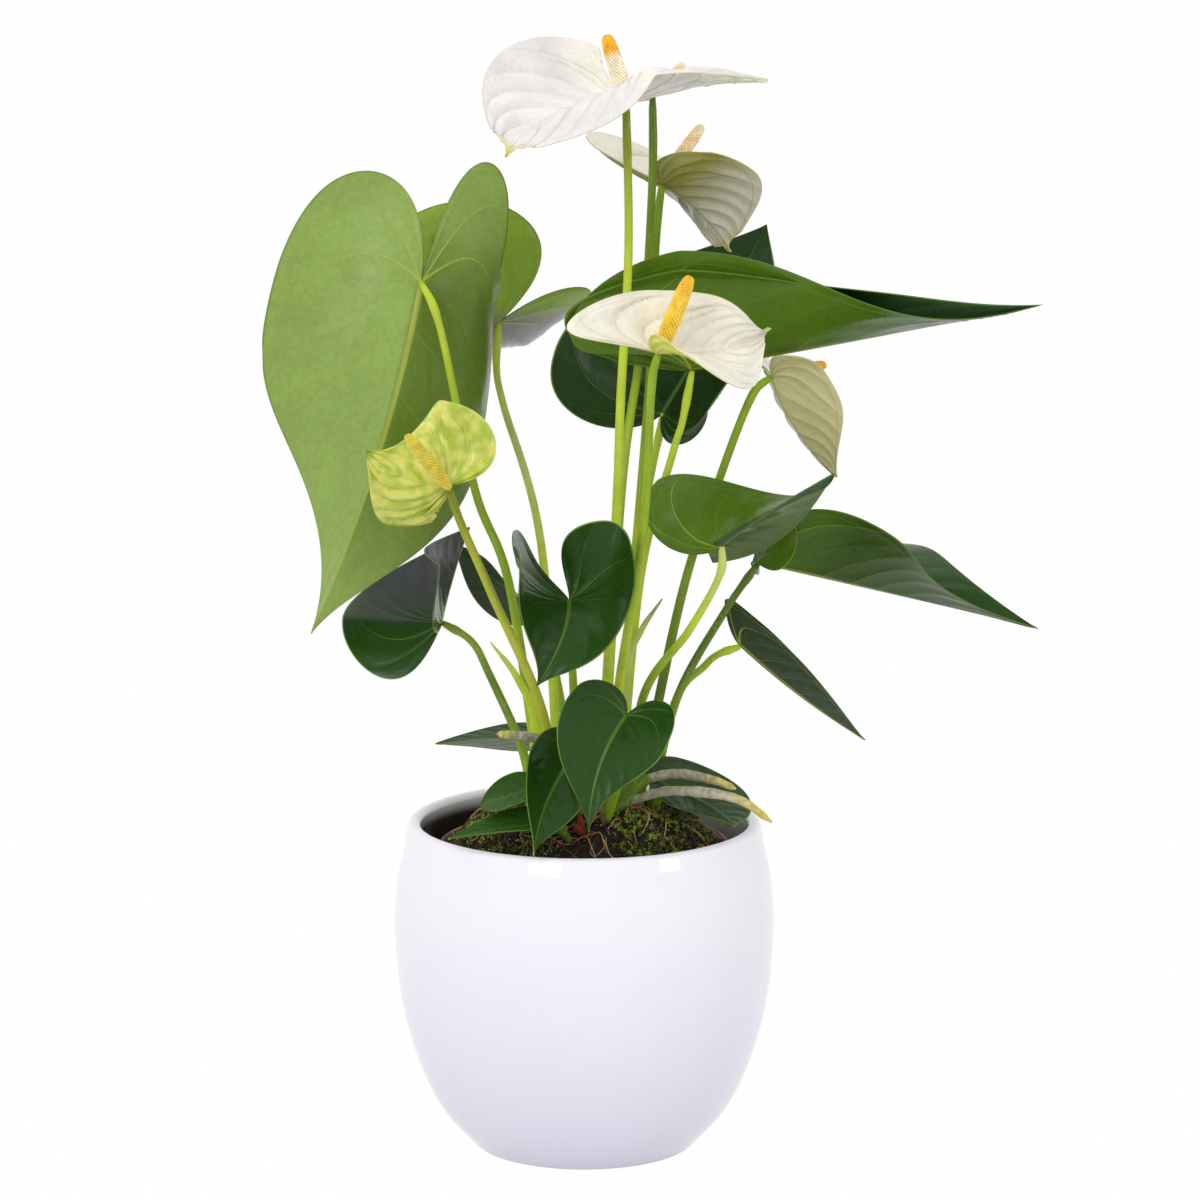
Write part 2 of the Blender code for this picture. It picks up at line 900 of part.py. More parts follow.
def build():
    clear_scene()
    group = bpy.data.collections.new(PART)
    bpy.context.scene.collection.children.link(group)
    materials = make_materials()
    make_cache_pot(materials)
    make_grow_pot(materials)
    make_soil(materials)
    make_stem_base(materials)
    for name, values in LEAVES.items():
        leaf = LEAF_SHAPE | values
        make_blade(f"leaf_{name}", leaf, materials["leaf_blade"])
        make_stalk(f"leaf_stalk_{name}", leaf, LEAF_STALK_RADII, materials["leaf_stalk"])
    for name, values in FLOWERS.items():
        flower = LEAF_SHAPE | values
        make_blade(f"spathe_{name}", flower, materials["spathe"])
        make_spadix(f"spadix_{name}", flower, materials["spadix"])
        make_stalk(f"flower_stalk_{name}", flower, FLOWER_STALK_RADII, materials["flower_stalk"])
    for name, (foot, *way) in SHEATHS.items():
        path = [(*foot, STALK_FOOT), *way]
        tube(name, smooth_path(path, STALK_POINTS), SHEATH_RADII, materials["leaf_stalk"])
    for name, way in AERIAL_ROOTS.items():
        tube(name, smooth_path(way, STALK_POINTS), ROOT_RADII, materials["aerial_root"])


build()
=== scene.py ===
"""Potted anthurium: the finished look of the plant and its pot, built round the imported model.

Units are metres and +Z is up. The origin is the centre of the cache-pot's base. The pot's front
faces -Y. Left and right on a blade are as seen from above it, looking from where its stalk joins
it to its tip.
"""

import math

import bpy
import numpy as np
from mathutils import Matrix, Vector, noise


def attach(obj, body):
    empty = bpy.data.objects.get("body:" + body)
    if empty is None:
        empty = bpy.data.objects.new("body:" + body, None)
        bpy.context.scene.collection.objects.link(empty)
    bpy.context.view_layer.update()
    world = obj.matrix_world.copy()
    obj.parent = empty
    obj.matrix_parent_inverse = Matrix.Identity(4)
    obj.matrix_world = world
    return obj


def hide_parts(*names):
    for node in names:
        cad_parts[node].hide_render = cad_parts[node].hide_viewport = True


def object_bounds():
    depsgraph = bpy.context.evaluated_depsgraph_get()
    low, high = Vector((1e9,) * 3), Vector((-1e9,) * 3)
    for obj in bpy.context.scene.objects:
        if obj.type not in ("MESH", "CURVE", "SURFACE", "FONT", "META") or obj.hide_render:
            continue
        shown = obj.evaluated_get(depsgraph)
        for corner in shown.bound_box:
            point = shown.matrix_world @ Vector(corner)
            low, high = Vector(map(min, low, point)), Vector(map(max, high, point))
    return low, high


bl_info = {
    "name": "Potted Anthurium",
    "version": (1, 0, 0),
    "blender": (4, 5, 0),
    "location": "View3D > Sidebar > Anthurium",
    "description": "Builds a flowering potted anthurium with its leaves, flowers, soil and pot",
    "category": "Add Mesh",
}

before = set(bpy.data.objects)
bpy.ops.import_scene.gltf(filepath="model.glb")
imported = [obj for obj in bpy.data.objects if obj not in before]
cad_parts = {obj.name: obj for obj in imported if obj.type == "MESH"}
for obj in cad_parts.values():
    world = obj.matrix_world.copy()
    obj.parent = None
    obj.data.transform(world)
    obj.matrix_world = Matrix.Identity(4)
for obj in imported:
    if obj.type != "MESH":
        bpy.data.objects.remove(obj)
CAD_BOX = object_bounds()

# --- The plant's build ---------------------------------------------------------------------------

# Cache-pot: outer profile as (radius, height), from the base up to the lip.
POT_BASE_RADIUS = 0.0455
POT_HEIGHT = 0.1375
POT_WALL = 0.0055
POT_FLOOR = 0.0060
POT_SIDE = (
    (0.0470, 0.0010),
    (0.0604, 0.0165),
    (0.0700, 0.0370),
    (0.0765, 0.0620),
    (0.0790, 0.0900),
    (0.0780, 0.1110),
    (0.0745, 0.1280),
)
POT_LIP_RADIUS = 0.0029
POT_LIP_INSET = 0.0012
POT_FLOOR_INSET = 0.0070
POT_FOOT_EASE = 0.0009
POT_FOOT_RISE = 0.0004
POT_RINGS = 46
POT_STEPS = 160
SEAT_GAP = 0.0003

# Grow pot and the soil in it.
GROW_POT_BASE_RADIUS = 0.0440
GROW_POT_RIM_RADIUS = 0.0600
GROW_POT_WALL = 0.0010
GROW_POT_TOP = 0.1275
GROW_POT_FOOT = POT_FLOOR + SEAT_GAP
GROW_POT_SLOPE = (GROW_POT_RIM_RADIUS - GROW_POT_BASE_RADIUS) / (GROW_POT_TOP - GROW_POT_FOOT)
GROW_POT_STEPS = 128
SOIL_EDGE = 0.1250
SOIL_TOP = 0.1275
SOIL_FLAT_RADIUS = 0.0420

# How much nearer the stalk a ray leaves the midrib, as a share of its reach out, and how far the
# widest part carries on along the side.
VEIN_LEAD = 0.60
SHOULDER_REACH = 0.38
SPINE_STEPS = 24

# Leaves and flowers. junction: where the blade meets its stalk. faces: which way its upper side
# looks. lobe: how far each basal lobe reaches back, as a share of the length. sinus: how wide the
# notch opens. shoulder: where the blade is widest. taper: how full its run to the tip is. fold,
# curl, lift: degrees by which each half is folded up and curls on, and its lobe lifts. arch, sweep,
# twist: degrees by which the midrib bends down, bends aside and turns. spadix: its end. stalk: its
# foot as (x, y), then points up it.
LEAF_SHAPE = dict(
    lobe=(0.28, 0.28),
    sinus=0.10,
    shoulder=0.12,
    taper=(0.80, 0.30),
    fold=(15, 15),
    curl=(10, 10),
    lift=(0, 0),
    arch=15,
    sweep=0,
    twist=0,
)

LEAVES = {
    "tall_left": dict(
        junction=(-0.066, -0.005, 0.362), tip=(-0.113, 0.004, 0.215), faces=(0.06, 1.00, 0.04),
        width=0.125, lobe=(0.28, 0.44), sinus=0.09, shoulder=0.19, taper=(0.70, 0.17), fold=(29, 13),
        curl=(-50, 90), lift=(-17, -59), arch=-40, sweep=16, twist=32,
        stalk=(
            (-0.016, -0.012), (-0.030, -0.016, 0.237),
            (-0.044, -0.022, 0.279), (-0.058, -0.018, 0.345),
        ),
    ),
    "tall_back": dict(
        junction=(-0.036, 0.062, 0.337), tip=(-0.080, 0.068, 0.310), faces=(-0.02, 0.97, 0.23),
        width=0.122, lobe=(0.77, 0.86), sinus=0.06, taper=(0.47, 0.09), fold=(-17, 28),
        curl=(63, 67), lift=(-37, -22), arch=-19, sweep=15, twist=-67,
        stalk=((-0.010, 0.010), (-0.018, 0.034, 0.247), (-0.034, 0.050, 0.304), (-0.037, 0.055, 0.320)),
    ),
    "tall_right": dict(
        junction=(0.0443, 0.008, 0.3239), tip=(0.189, 0.019, 0.350), faces=(-0.14, -0.36, 0.92),
        width=0.109, lobe=(0.34, 0.09), sinus=0.25, shoulder=0.02, taper=(0.53, 0.37), fold=(50, 80),
        curl=(90, 29), lift=(-3, 73), arch=-1, sweep=1, twist=71,
        stalk=(
            (0.014, 0.002), (0.0231, 0.0089, 0.2364),
            (0.0362, 0.0072, 0.289), (0.0403, 0.0063, 0.3029),
        ),
    ),
    "shaded_back": dict(
        junction=(0.0331, 0.055, 0.2996), tip=(0.0774, 0.087, 0.376), faces=(-0.31, -0.80, 0.52),
        width=0.109, lobe=(0.19, 0.18), sinus=0.13, shoulder=0.08, taper=(0.80, 0.25), fold=(13, 25),
        curl=(11, 43), lift=(12, -28), arch=0, sweep=5, twist=14,
        stalk=((0.010, 0.022), (0.0221, 0.0465, 0.2389)),
    ),
    "long_right": dict(
        junction=(0.072, 0.012, 0.243), tip=(0.187, -0.001, 0.218), faces=(0.24, 0.40, 0.89),
        width=0.090, lobe=(0.04, 0.03), sinus=0.08, shoulder=0.30, taper=(0.46, 0.44), fold=(52, 32),
        curl=(-50, -1), lift=(-54, -58), arch=13, sweep=-48, twist=37,
        stalk=((0.027, 0.004), (0.038, 0.006, 0.186), (0.058, 0.009, 0.223)),
    ),
    "cupped_right": dict(
        junction=(0.0557, -0.040, 0.2591), tip=(0.101, -0.028, 0.287), faces=(-0.31, 0.94, 0.10),
        width=0.095, lobe=(0.28, 0.13), sinus=0.34, shoulder=0.04, taper=(0.98, 0.17), fold=(83, 85),
        curl=(88, 66), lift=(1, -40), arch=5, sweep=8, twist=-49,
        stalk=(
            (0.020, -0.009), (0.0239, -0.0158, 0.1912),
            (0.0428, -0.0287, 0.2227), (0.0547, -0.0389, 0.2469),
        ),
    ),
    "drooping_left": dict(
        junction=(-0.059, 0.018, 0.217), tip=(-0.048, 0.038, 0.254), faces=(-0.65, -0.57, 0.50),
        width=0.086, lobe=(0.67, 0.35), sinus=0.17, shoulder=0.06, taper=(0.79, 0.28), fold=(23, 57),
        curl=(18, -11), lift=(-17, -4), arch=-15, sweep=-29, twist=-32,
        stalk=((-0.022, 0.0), (-0.025, 0.003, 0.164), (-0.040, 0.010, 0.198), (-0.047, 0.014, 0.210)),
    ),
    "grey_back": dict(
        junction=(-0.024, 0.044, 0.221), tip=(-0.056, 0.049, 0.246), faces=(-0.33, -0.91, -0.25),
        width=0.028, lobe=(0.11, 0.06), sinus=0.16, shoulder=0.18, taper=(0.77, 0.27), fold=(2, 56),
        curl=(11, 18), lift=(9, -14), arch=-4, sweep=-15, twist=50,
        stalk=((-0.004, 0.026), (-0.012, 0.041, 0.190)),
    ),
    "centre": dict(
        junction=(-0.006, -0.046, 0.238), tip=(-0.019, -0.073, 0.208), faces=(-0.67, -0.38, 0.64),
        width=0.078, lobe=(0.60, 0.25), sinus=0.07, shoulder=0.13, taper=(0.63, 0.12),
        fold=(-31, 52), curl=(76, 80), lift=(102, 55), arch=9, sweep=-65, twist=-24,
        stalk=((-0.003, -0.008), (-0.004, -0.024, 0.190)),
    ),
    "front_heart": dict(
        junction=(0.017, -0.052, 0.192), tip=(0.002, -0.073, 0.148), faces=(-0.05, -0.89, 0.45),
        width=0.048, lobe=(0.26, 0.15), sinus=0.16, shoulder=0.14, taper=(0.66, 0.06), fold=(23, 3),
        curl=(-2, 19), lift=(-10, -11), arch=8, sweep=35, twist=-11,
        stalk=((0.007, -0.031), (0.015, -0.037, 0.165)),
    ),
    "over_rim": dict(
        junction=(-0.002, -0.042, 0.176), tip=(-0.020, -0.077, 0.140), faces=(-0.13, -0.68, 0.72),
        width=0.036, lobe=(0.03, 0.07), sinus=0.17, shoulder=0.25, taper=(0.71, 0.12), fold=(29, -1),
        curl=(37, 55), lift=(-45, -5), arch=-23, sweep=43, twist=-80,
        stalk=((-0.004, -0.018), (0.0, -0.030, 0.158)),
    ),
    "low_oval": dict(
        junction=(-0.015, -0.036, 0.1605), tip=(-0.042, -0.048, 0.154), faces=(-0.29, 0.15, 0.94),
        width=0.026, lobe=(0.03, 0.03), sinus=0.13, shoulder=0.31, taper=(0.93, 0.64),
        fold=(-56, 11), curl=(78, 54), arch=5, sweep=-31,
        stalk=((-0.012, -0.029),),
    ),
    "low_left": dict(
        junction=(-0.012, -0.0485, 0.146), tip=(-0.055, -0.0565, 0.1422), faces=(-0.10, -0.30, 1.00),
        width=0.022, lobe=(0.10, 0.10), stalk=((-0.006, -0.038),),
    ),
    "low_rear": dict(
        junction=(-0.020, 0.022, 0.165), tip=(-0.063, 0.038, 0.161), faces=(0.00, -0.20, 1.00),
        width=0.030, lobe=(0.10, 0.10), fold=(5, 5), curl=(5, 5), stalk=((-0.018, 0.013),),
    ),
    "low_right": dict(
        junction=(0.033, -0.010, 0.154), tip=(0.061, -0.038, 0.143), faces=(0.19, -0.18, 0.97),
        width=0.032, lobe=(0.26, 0.11), sinus=0.06, shoulder=0.39, taper=(0.91, 0.60), fold=(29, 7),
        curl=(7, -14), lift=(-9, 6), arch=-13, sweep=-69, twist=-4, stalk=((0.027, -0.007),),
    ),
    "narrow_right": dict(
        junction=(0.065, 0.022, 0.206), tip=(0.117, 0.013, 0.168), faces=(0.58, -0.08, 0.81),
        width=0.030, lobe=(0.22, 0.22), sinus=0.12, shoulder=0.10, taper=(0.78, 0.33), fold=(48, 76),
        curl=(9, -17), lift=(35, 35), arch=-12, sweep=1, twist=-12,
        stalk=((0.027, 0.011), (0.038, 0.016, 0.184), (0.050, 0.020, 0.198), (0.056, 0.021, 0.203)),
    ),
}

FLOWERS = {
    "top": dict(
        junction=(0.017, -0.014, 0.436), tip=(-0.031, -0.054, 0.417), faces=(-0.31, -0.10, 0.95),
        width=0.098, lobe=(0.43, 0.11), sinus=0.14, shoulder=0.06, taper=(0.80, 0.40), fold=(36, -3),
        curl=(-52, 70), lift=(-13, -31), arch=38, sweep=48, twist=-46, spadix=(0.009, -0.008, 0.462),
        stalk=(
            (0.006, -0.002), (0.013, -0.018, 0.2643),
            (0.0149, -0.025, 0.3167), (0.018, -0.022, 0.3769),
        ),
    ),
    "rear": dict(
        junction=(0.028, 0.020, 0.435), tip=(0.075, 0.018, 0.442), faces=(0.00, 0.00, 1.00),
        width=0.046, lobe=(0.20, 0.20), spadix=(0.041, 0.024, 0.4485), spadix_radius=0.0020,
        stalk=(
            (0.007, 0.007), (0.015, 0.008, 0.270),
            (0.0223, 0.026, 0.3224), (0.0253, 0.027, 0.3477),
            (0.0281, 0.022, 0.4039),
        ),
    ),
    "upper": dict(
        junction=(0.032, 0.034, 0.398), tip=(0.061, 0.042, 0.369), faces=(-0.07, 0.97, 0.22),
        width=0.069, lobe=(0.55, 0.28), sinus=0.07, shoulder=0.40, taper=(0.76, 0.47),
        fold=(57, -28), curl=(73, -6), lift=(25, 31), arch=33, sweep=24, twist=-8,
        spadix=(0.049, 0.050, 0.421), spadix_radius=0.0028,
        stalk=((0.012, 0.014), (0.026, 0.036, 0.300), (0.0285, 0.037, 0.350), (0.030, 0.035, 0.380)),
    ),
    "middle": dict(
        junction=(0.0297, -0.068, 0.3413), tip=(0.075, -0.035, 0.347), faces=(-0.19, 0.09, 0.98),
        width=0.051, lobe=(0.80, 0.19), sinus=0.22, shoulder=0.30, taper=(0.71, 0.26), fold=(73, 10),
        curl=(35, -40), lift=(-16, 50), arch=-33, sweep=6, twist=77, spadix=(0.0414, -0.086, 0.3733),
        spadix_radius=0.0034,
        stalk=(
            (0.008, -0.013), (0.014, -0.0238, 0.1962),
            (0.0239, -0.0457, 0.2669), (0.0269, -0.0638, 0.3273),
        ),
    ),
    "hanging": dict(
        junction=(0.077, 0.017, 0.320), tip=(0.105, 0.026, 0.277), faces=(0.36, 0.84, 0.41),
        width=0.050, lobe=(0.14, 0.29), sinus=0.09, shoulder=0.31, taper=(0.80, 0.46), fold=(43, -4),
        curl=(49, 23), lift=(-32, -45), arch=7, sweep=-41, twist=2, spadix=(0.100, 0.027, 0.324),
        spadix_radius=0.0027,
        stalk=((0.021, -0.002), (0.040, 0.012, 0.228), (0.056, 0.016, 0.278), (0.069, 0.017, 0.312)),
    ),
    "green": dict(
        junction=(-0.054, -0.060, 0.287), tip=(-0.086, -0.065, 0.302), faces=(0.14, -0.99, -0.02),
        width=0.068, lobe=(0.06, 0.57), sinus=0.09, shoulder=0.18, taper=(0.61, 0.34),
        fold=(-34, -18), curl=(-30, 8), lift=(35, 15), arch=19, sweep=-44, twist=15,
        spadix=(-0.069, -0.086, 0.311), spadix_radius=0.0028,
        stalk=(
            (-0.014, -0.020), (-0.016, -0.027, 0.185),
            (-0.037, -0.042, 0.240), (-0.0485, -0.0465, 0.268),
        ),
    ),
}

SHEATHS = {
    "sheath_right": (
        (0.0135, -0.0055), (0.017, -0.009, 0.199),
        (0.023, -0.009, 0.218), (0.032, -0.009, 0.232),
    ),
    "sheath_left": (
        (-0.020, -0.020), (-0.0195, -0.0225, 0.180),
        (-0.027, -0.026, 0.202), (-0.038, -0.030, 0.218),
    ),
}
AERIAL_ROOTS = {
    "aerial_root_back": (
        (0.0202, -0.0197, 0.157), (0.036, -0.020, 0.161),
        (0.052, -0.026, 0.160), (0.062, -0.030, 0.157),
    ),
    "aerial_root_long": (
        (0.0189, -0.0256, 0.151), (0.036, -0.036, 0.1575),
        (0.061, -0.047, 0.157), (0.076, -0.051, 0.148),
    ),
    "aerial_root_left": (
        (-0.0169, -0.0282, 0.177), (-0.021, -0.035, 0.1795),
        (-0.035, -0.044, 0.183),
    ),
}
ROOT_RADII = (0.0017, 0.0019, 0.0010)
STEM_BASE_RADII = (0.0062, 0.0056, 0.0040)
LEAF_STALK_RADII = (0.0022, 0.0018, 0.0014)
FLOWER_STALK_RADII = (0.0022, 0.0019, 0.0016)
SPADIX_RADIUS = 0.0034
SPADIX_LIFT = 0.0015

# The finer forms of the finished plant.
FINE_RAYS = 120
FINE_COLUMNS = 30
WELD_DISTANCE = 0.000004
BOX_CLEARANCE = 0.00005
FAR_AWAY = 1.0
LEAST_BEND = 0.0001
CREASE_WIDTH = 0.0007
MARGIN_RIPPLE = 0.006
RIPPLE_WAVES = 17.0
RIPPLE_SHIFT = 2.1

# A blade's relief: how unevenly it puffs up, where it fades in from the midrib and out towards the
# margin, and how much of it lies below the plain sheet.
PUFF_UNEVEN = 0.45
MIDRIB_FADE = (0.0, 0.12)
MARGIN_FADE = (0.80, 1.0)
RELIEF_SUNK = 0.7

# Veins. mains: where each starts round the half blade, how far it curves towards the tip and its
# thickness. sides: where the side veins start, how many there are and how far they curve.
LEAF_VEINS = dict(
    mains=((0.10, 0.05, 0.8), (0.22, 0.11, 0.9), (0.34, 0.21, 1.0)),
    sides=(0.50, 13.0, 0.10),
)
SPATHE_VEINS = dict(
    mains=((0.07, 0.07, 0.8), (0.16, 0.15, 0.9), (0.26, 0.24, 1.0), (0.37, 0.30, 1.0)),
    sides=(0.46, 10.0, 0.22),
)
COLLECTING_VEIN = 0.90
MARGIN_LINE = (0.982, 0.996)

# How far a spathe's end narrows to a tail, and between which places round its margin.
TAILED = {"top": 0.80, "upper": 0.70, "middle": 0.55}
TAIL_SPAN = (0.90, 0.985)

# Stalks: a wide foot, a thicker joint under the blade and a slightly narrower neck above it.
TUBE_SIDES = 20
SPAN_STEPS = 12
STALK_RINGS = 64
STALK_BURIED = 0.0030
STALK_RISE = 0.0088
STALK_RIDGES = 3
STALK_GROOVES = 0.035
FOOT_SWELL, FOOT_SPAN = 0.45, 0.035
JOINT_PLACE, JOINT_SPAN = 0.945, 0.022
LEAF_JOINT_SWELL = 0.28
FLOWER_JOINT_SWELL = 0.10
NECK_WAIST, NECK_PLACE = 0.25, 0.985

# A spadix's club as (place, share of its radius), and the florets that stand on it.
CLUB_OUTLINE = (
    (0.00, 0.40), (0.06, 0.62), (0.16, 0.84), (0.32, 0.98),
    (0.60, 0.93), (0.85, 0.80), (0.94, 0.62), (1.00, 0.22),
)
CLUB_RINGS = 40
CLUB_END_GAP = 0.0004
CLUB_SHADE = 0.68
GOLDEN_ANGLE = math.pi * (3 - math.sqrt(5))
FLORET_STANDING = 0.00035
FLORET_PACKING = 3.0
SPADIX_BANDS = (0.0, 0.60, 0.74, 1.0)

# Soil, moss and what lies on them.
SOIL_RINGS = 64
SOIL_STEPS = 150
SOIL_SEED = 7
SOIL_RISE = 0.0075
SOIL_MARGIN = 0.0006
SOIL_LUMPS = 0.0026
SOIL_GRIT = 0.0011
SOIL_EDGE_RISE = 0.0012
SOIL_EDGE_GRIT = 0.0010
MOSS_RINGS = 44
MOSS_STEPS = 96
FIBRE_COUNT = 330
FIBRE_POINTS = 14
FIBRE_REACH = 0.052
STRAW_EVERY = 9
SCRAP_COUNT = 1100
LITTER_REACH = 0.056

# Mounds in the soil as (x, y, radius, height), and moss patches as (x, y, radius, cover).
MOUNDS = (
    (0.024, 0.006, 0.024, 0.0080),
    (0.018, -0.031, 0.017, 0.0105),
    (0.044, -0.022, 0.012, 0.0040),
    (-0.040, -0.002, 0.018, 0.0070),
    (-0.030, -0.034, 0.016, 0.0040),
    (-0.002, -0.020, 0.014, 0.0070),
)
MOSS_PATCHES = (
    (0.024, -0.042, 0.011, 1.0),
    (0.020, -0.026, 0.009, 0.8),
    (0.037, -0.026, 0.012, 0.9),
    (0.026, 0.004, 0.010, 0.4),
    (-0.043, -0.014, 0.010, 0.5),
    (-0.022, -0.044, 0.011, 0.6),
    (-0.040, -0.034, 0.009, 0.4),
    (0.046, -0.008, 0.009, 0.7),
    (-0.010, 0.030, 0.016, 0.5),
    (0.030, 0.034, 0.013, 0.6),
    (-0.034, 0.026, 0.011, 0.6),
)

# Colours by name: each blade's upper side (left half, right half), then its underside. Of three
# looks the third is the whole underside. Of two the first is the whole upper side as well. A look is
# one colour, colours at places along the blade, two colours that change over between two heights, or
# a ground colour with blotches.
# Painted sheen: above these heights the drooping leaf's upper side turns purple-grey, for light reflected
# off it.
PAINTED_SHEEN_TOP = dict(low="deep_green", high="purple_sheen", heights=(0.212, 0.236))
LILAC_FOOT = dict(low="lilac_shade", high="bright_underside", heights=(0.335, 0.346))
LEAF_LOOKS = {
    "tall_left": (
        "deep_green",
        "deep_green",
        "pale_underside",
        (
            (-0.2, "pale_underside"),
            (0.02, "green_underside"),
            (0.5, "green_underside"),
            (1.0, "pale_underside"),
        ),
    ),
    "tall_back": ("deep_green", LILAC_FOOT),
    "tall_right": (
        ((0.25, "mid_underside"), (0.45, "deep_green"), (0.62, "sheen_green")),
        ((0.30, "deep_green"), (0.70, "sheen_green")),
        ((0.35, "mid_underside"), (0.75, "dark_underside")),
    ),
    "shaded_back": ("dark_green", "dark_underside"),
    "long_right": (
        "deep_green",
        ((0.0, "mid_underside"), (0.3, "deep_green")),
        ((0.0, "mid_underside"), (0.3, "dark_underside")),
    ),
    "cupped_right": ("deep_green", "grey_green", "mid_underside", "dull_underside"),
    "drooping_left": (PAINTED_SHEEN_TOP, PAINTED_SHEEN_TOP),
    "grey_back": ("grey_green", "dull_underside"),
    "centre": ("deep_green", "dark_green", "dark_underside"),
    "front_heart": ("deep_green", "dark_underside"),
    "over_rim": ("deep_green", "mid_underside"),
    "low_oval": ("sheen_green", "fresh_green", "dark_underside"),
    "low_left": ("fresh_green", "dark_underside"),
    "low_rear": ("grey_green", "deep_green", "dark_underside"),
    "low_right": ("grey_green", "dark_green", "dark_underside"),
    "narrow_right": ("dusky_green", "dusky_green"),
}
TAIL_STOPS = (
    (-0.08, "spathe_white"),
    (0.04, "spathe_cream"),
    (0.2, "spathe_white"),
    (0.86, "spathe_white"),
    (0.95, "spathe_tail"),
)
OLD_STOPS = ((0.1, "spathe_olive"), (0.6, "spathe_lilac"), (0.8, "spathe_lilac"), (0.97, "spathe_tail"))
LIME_BLOTCHES = dict(ground="spathe_lime", blotch="spathe_green", scale=210.0)
SPATHE_LOOKS = {
    "top": (TAIL_STOPS, TAIL_STOPS, TAIL_STOPS, ((0.0, "spathe_cream"), (0.9, "spathe_tail"))),
    "rear": ("spathe_white", "spathe_cream"),
    "upper": ("spathe_cream", OLD_STOPS),
    "middle": (
        ((0.92, "spathe_cream"), (0.99, "spathe_tail")),
        ((0.92, "spathe_cream"), (0.99, "spathe_tail")),
        "spathe_olive",
        ((0.0, "spathe_lime"), (0.5, "spathe_olive")),
    ),
    "hanging": ("spathe_cream", "spathe_tan"),
    "green": (LIME_BLOTCHES, "spathe_green"),
}
# How far each spathe puffs up between its veins, as a share of the setting.
PUFF_SHARES = {"top": 0.8, "rear": 0.8, "upper": 0.75, "middle": 0.9, "hanging": 0.3}
# Spadix colours at the places in SPADIX_BANDS, from the spathe to the end.
SPADIX_LOOKS = {
    "top": ("cream", "cream", "orange", "orange"),
    "rear": ("peach", "peach", "peach", "cream"),
    "upper": ("peach", "peach", "peach", "cream"),
    "middle": ("yellow", "yellow", "yellow", "orange"),
    "hanging": ("yellow", "orange", "orange", "orange"),
    "green": ("gold", "gold", "gold", "gold"),
}

# Stalk colours from the foot to the blade.
LEAF_STALK_LOOK = ("lime", "green", "green", "lime")
FLOWER_STALK_LOOK = ("lime", "lime", "green", "green")
STALK_LOOKS = {
    "leaf_stalk_tall_back": ("lime", "lime", "lime", "pale", "lime"),
    "leaf_stalk_cupped_right": ("green", "green", "green", "lime", "pale"),
    "leaf_stalk_tall_right": ("lime", "lime"),
    "leaf_stalk_long_right": ("green", "green", "dark", "dark"),
    "leaf_stalk_drooping_left": ("green", "green", "dark", "green"),
    "leaf_stalk_low_left": ("dark", "dark"),
    "flower_stalk_top": ("lime", "lime", "lime", "lime", "olive"),
    "flower_stalk_rear": ("lime", "lime", "green", "dark"),
    "flower_stalk_hanging": ("green", "dark", "green", "green"),
    "flower_stalk_green": ("lime", "yellow", "yellow", "yellow", "olive"),
}
STEM_LOOK = ("husk", "stalk_dark", "stalk_dark")
STEM_RINGS = 30
STEM_SLIMMING = 0.75
STEM_GROOVES = 0.05

# The sheaths' colours at places up their length, and their half widths.
SHEATH_LOOKS = {
    "sheath_right": ((0.0, "stalk_lime"), (0.5, "sheath"), (0.88, "sheath"), (1.0, "sheath_tip")),
    "sheath_left": ((0.0, "stalk_lime"), (0.8, "stalk_lime"), (1.0, "sheath")),
}
SHEATH_WIDTHS = (0.0024, 0.0024, 0.0011, 0.0003)
SHEATH_RINGS = 40

# Aerial roots: how much they swell towards the tip, how uneven they are and how far the tip narrows.
ROOT_RINGS = 70
ROOT_SWELL = (1.1, 1.35)
ROOT_UNEVEN = 0.07
ROOT_POINTING = 0.6

# Heights between which painted shade on the cache-pot's inner wall fades out: full below, none above.
INNER_SHADE_LINE = (0.129, 0.135)

# The lip's arc ends at this angle in degrees, and the rounded corner inside runs between these two
# in radians.
POT_LIP_END = 20
POT_COVE = (0.2, 1.3)

# Each side of a blade. widths: of the large veins, the side veins and the midrib. vein_tone: how
# far the veins' colour differs from the blade's. Then how strongly the veins, the fine net and the
# line along the margin show, how far the veins stand up, and how strong the fine mottling is.
BLADE_SIDES = {
    "leaf_upper_side": dict(
        widths=(0.00040, 0.00018, 0.0009), vein_tone=1.0, large_veins=0.60, side_veins=0.12,
        net=0.20, edge=0.85, relief=1.0, speckle=0.10, gloss=(0.18, 0.30), specular=0.18,
    ),
    "leaf_underside": dict(
        widths=(0.00060, 0.00022, 0.0013), vein_tone=1.0, large_veins=0.68, side_veins=0.28,
        net=0.12, edge=0.60, relief=1.2, speckle=0.07, gloss=(0.18, 0.30), specular=0.20,
    ),
    "spathe_face": dict(
        widths=(0.00040, 0.00026, 0.0005), vein_tone=0.45, large_veins=0.42, side_veins=0.26,
        net=0.0, edge=0.1, relief=1.0, speckle=0.02, gloss=(0.15, 0.26), specular=0.55,
    ),
    "spathe_back": dict(
        widths=(0.00050, 0.00034, 0.0006), vein_tone=0.85, large_veins=0.70, side_veins=0.55,
        net=0.0, edge=0.4, relief=1.6, speckle=0.03, gloss=(0.26, 0.36), specular=0.40,
    ),
}

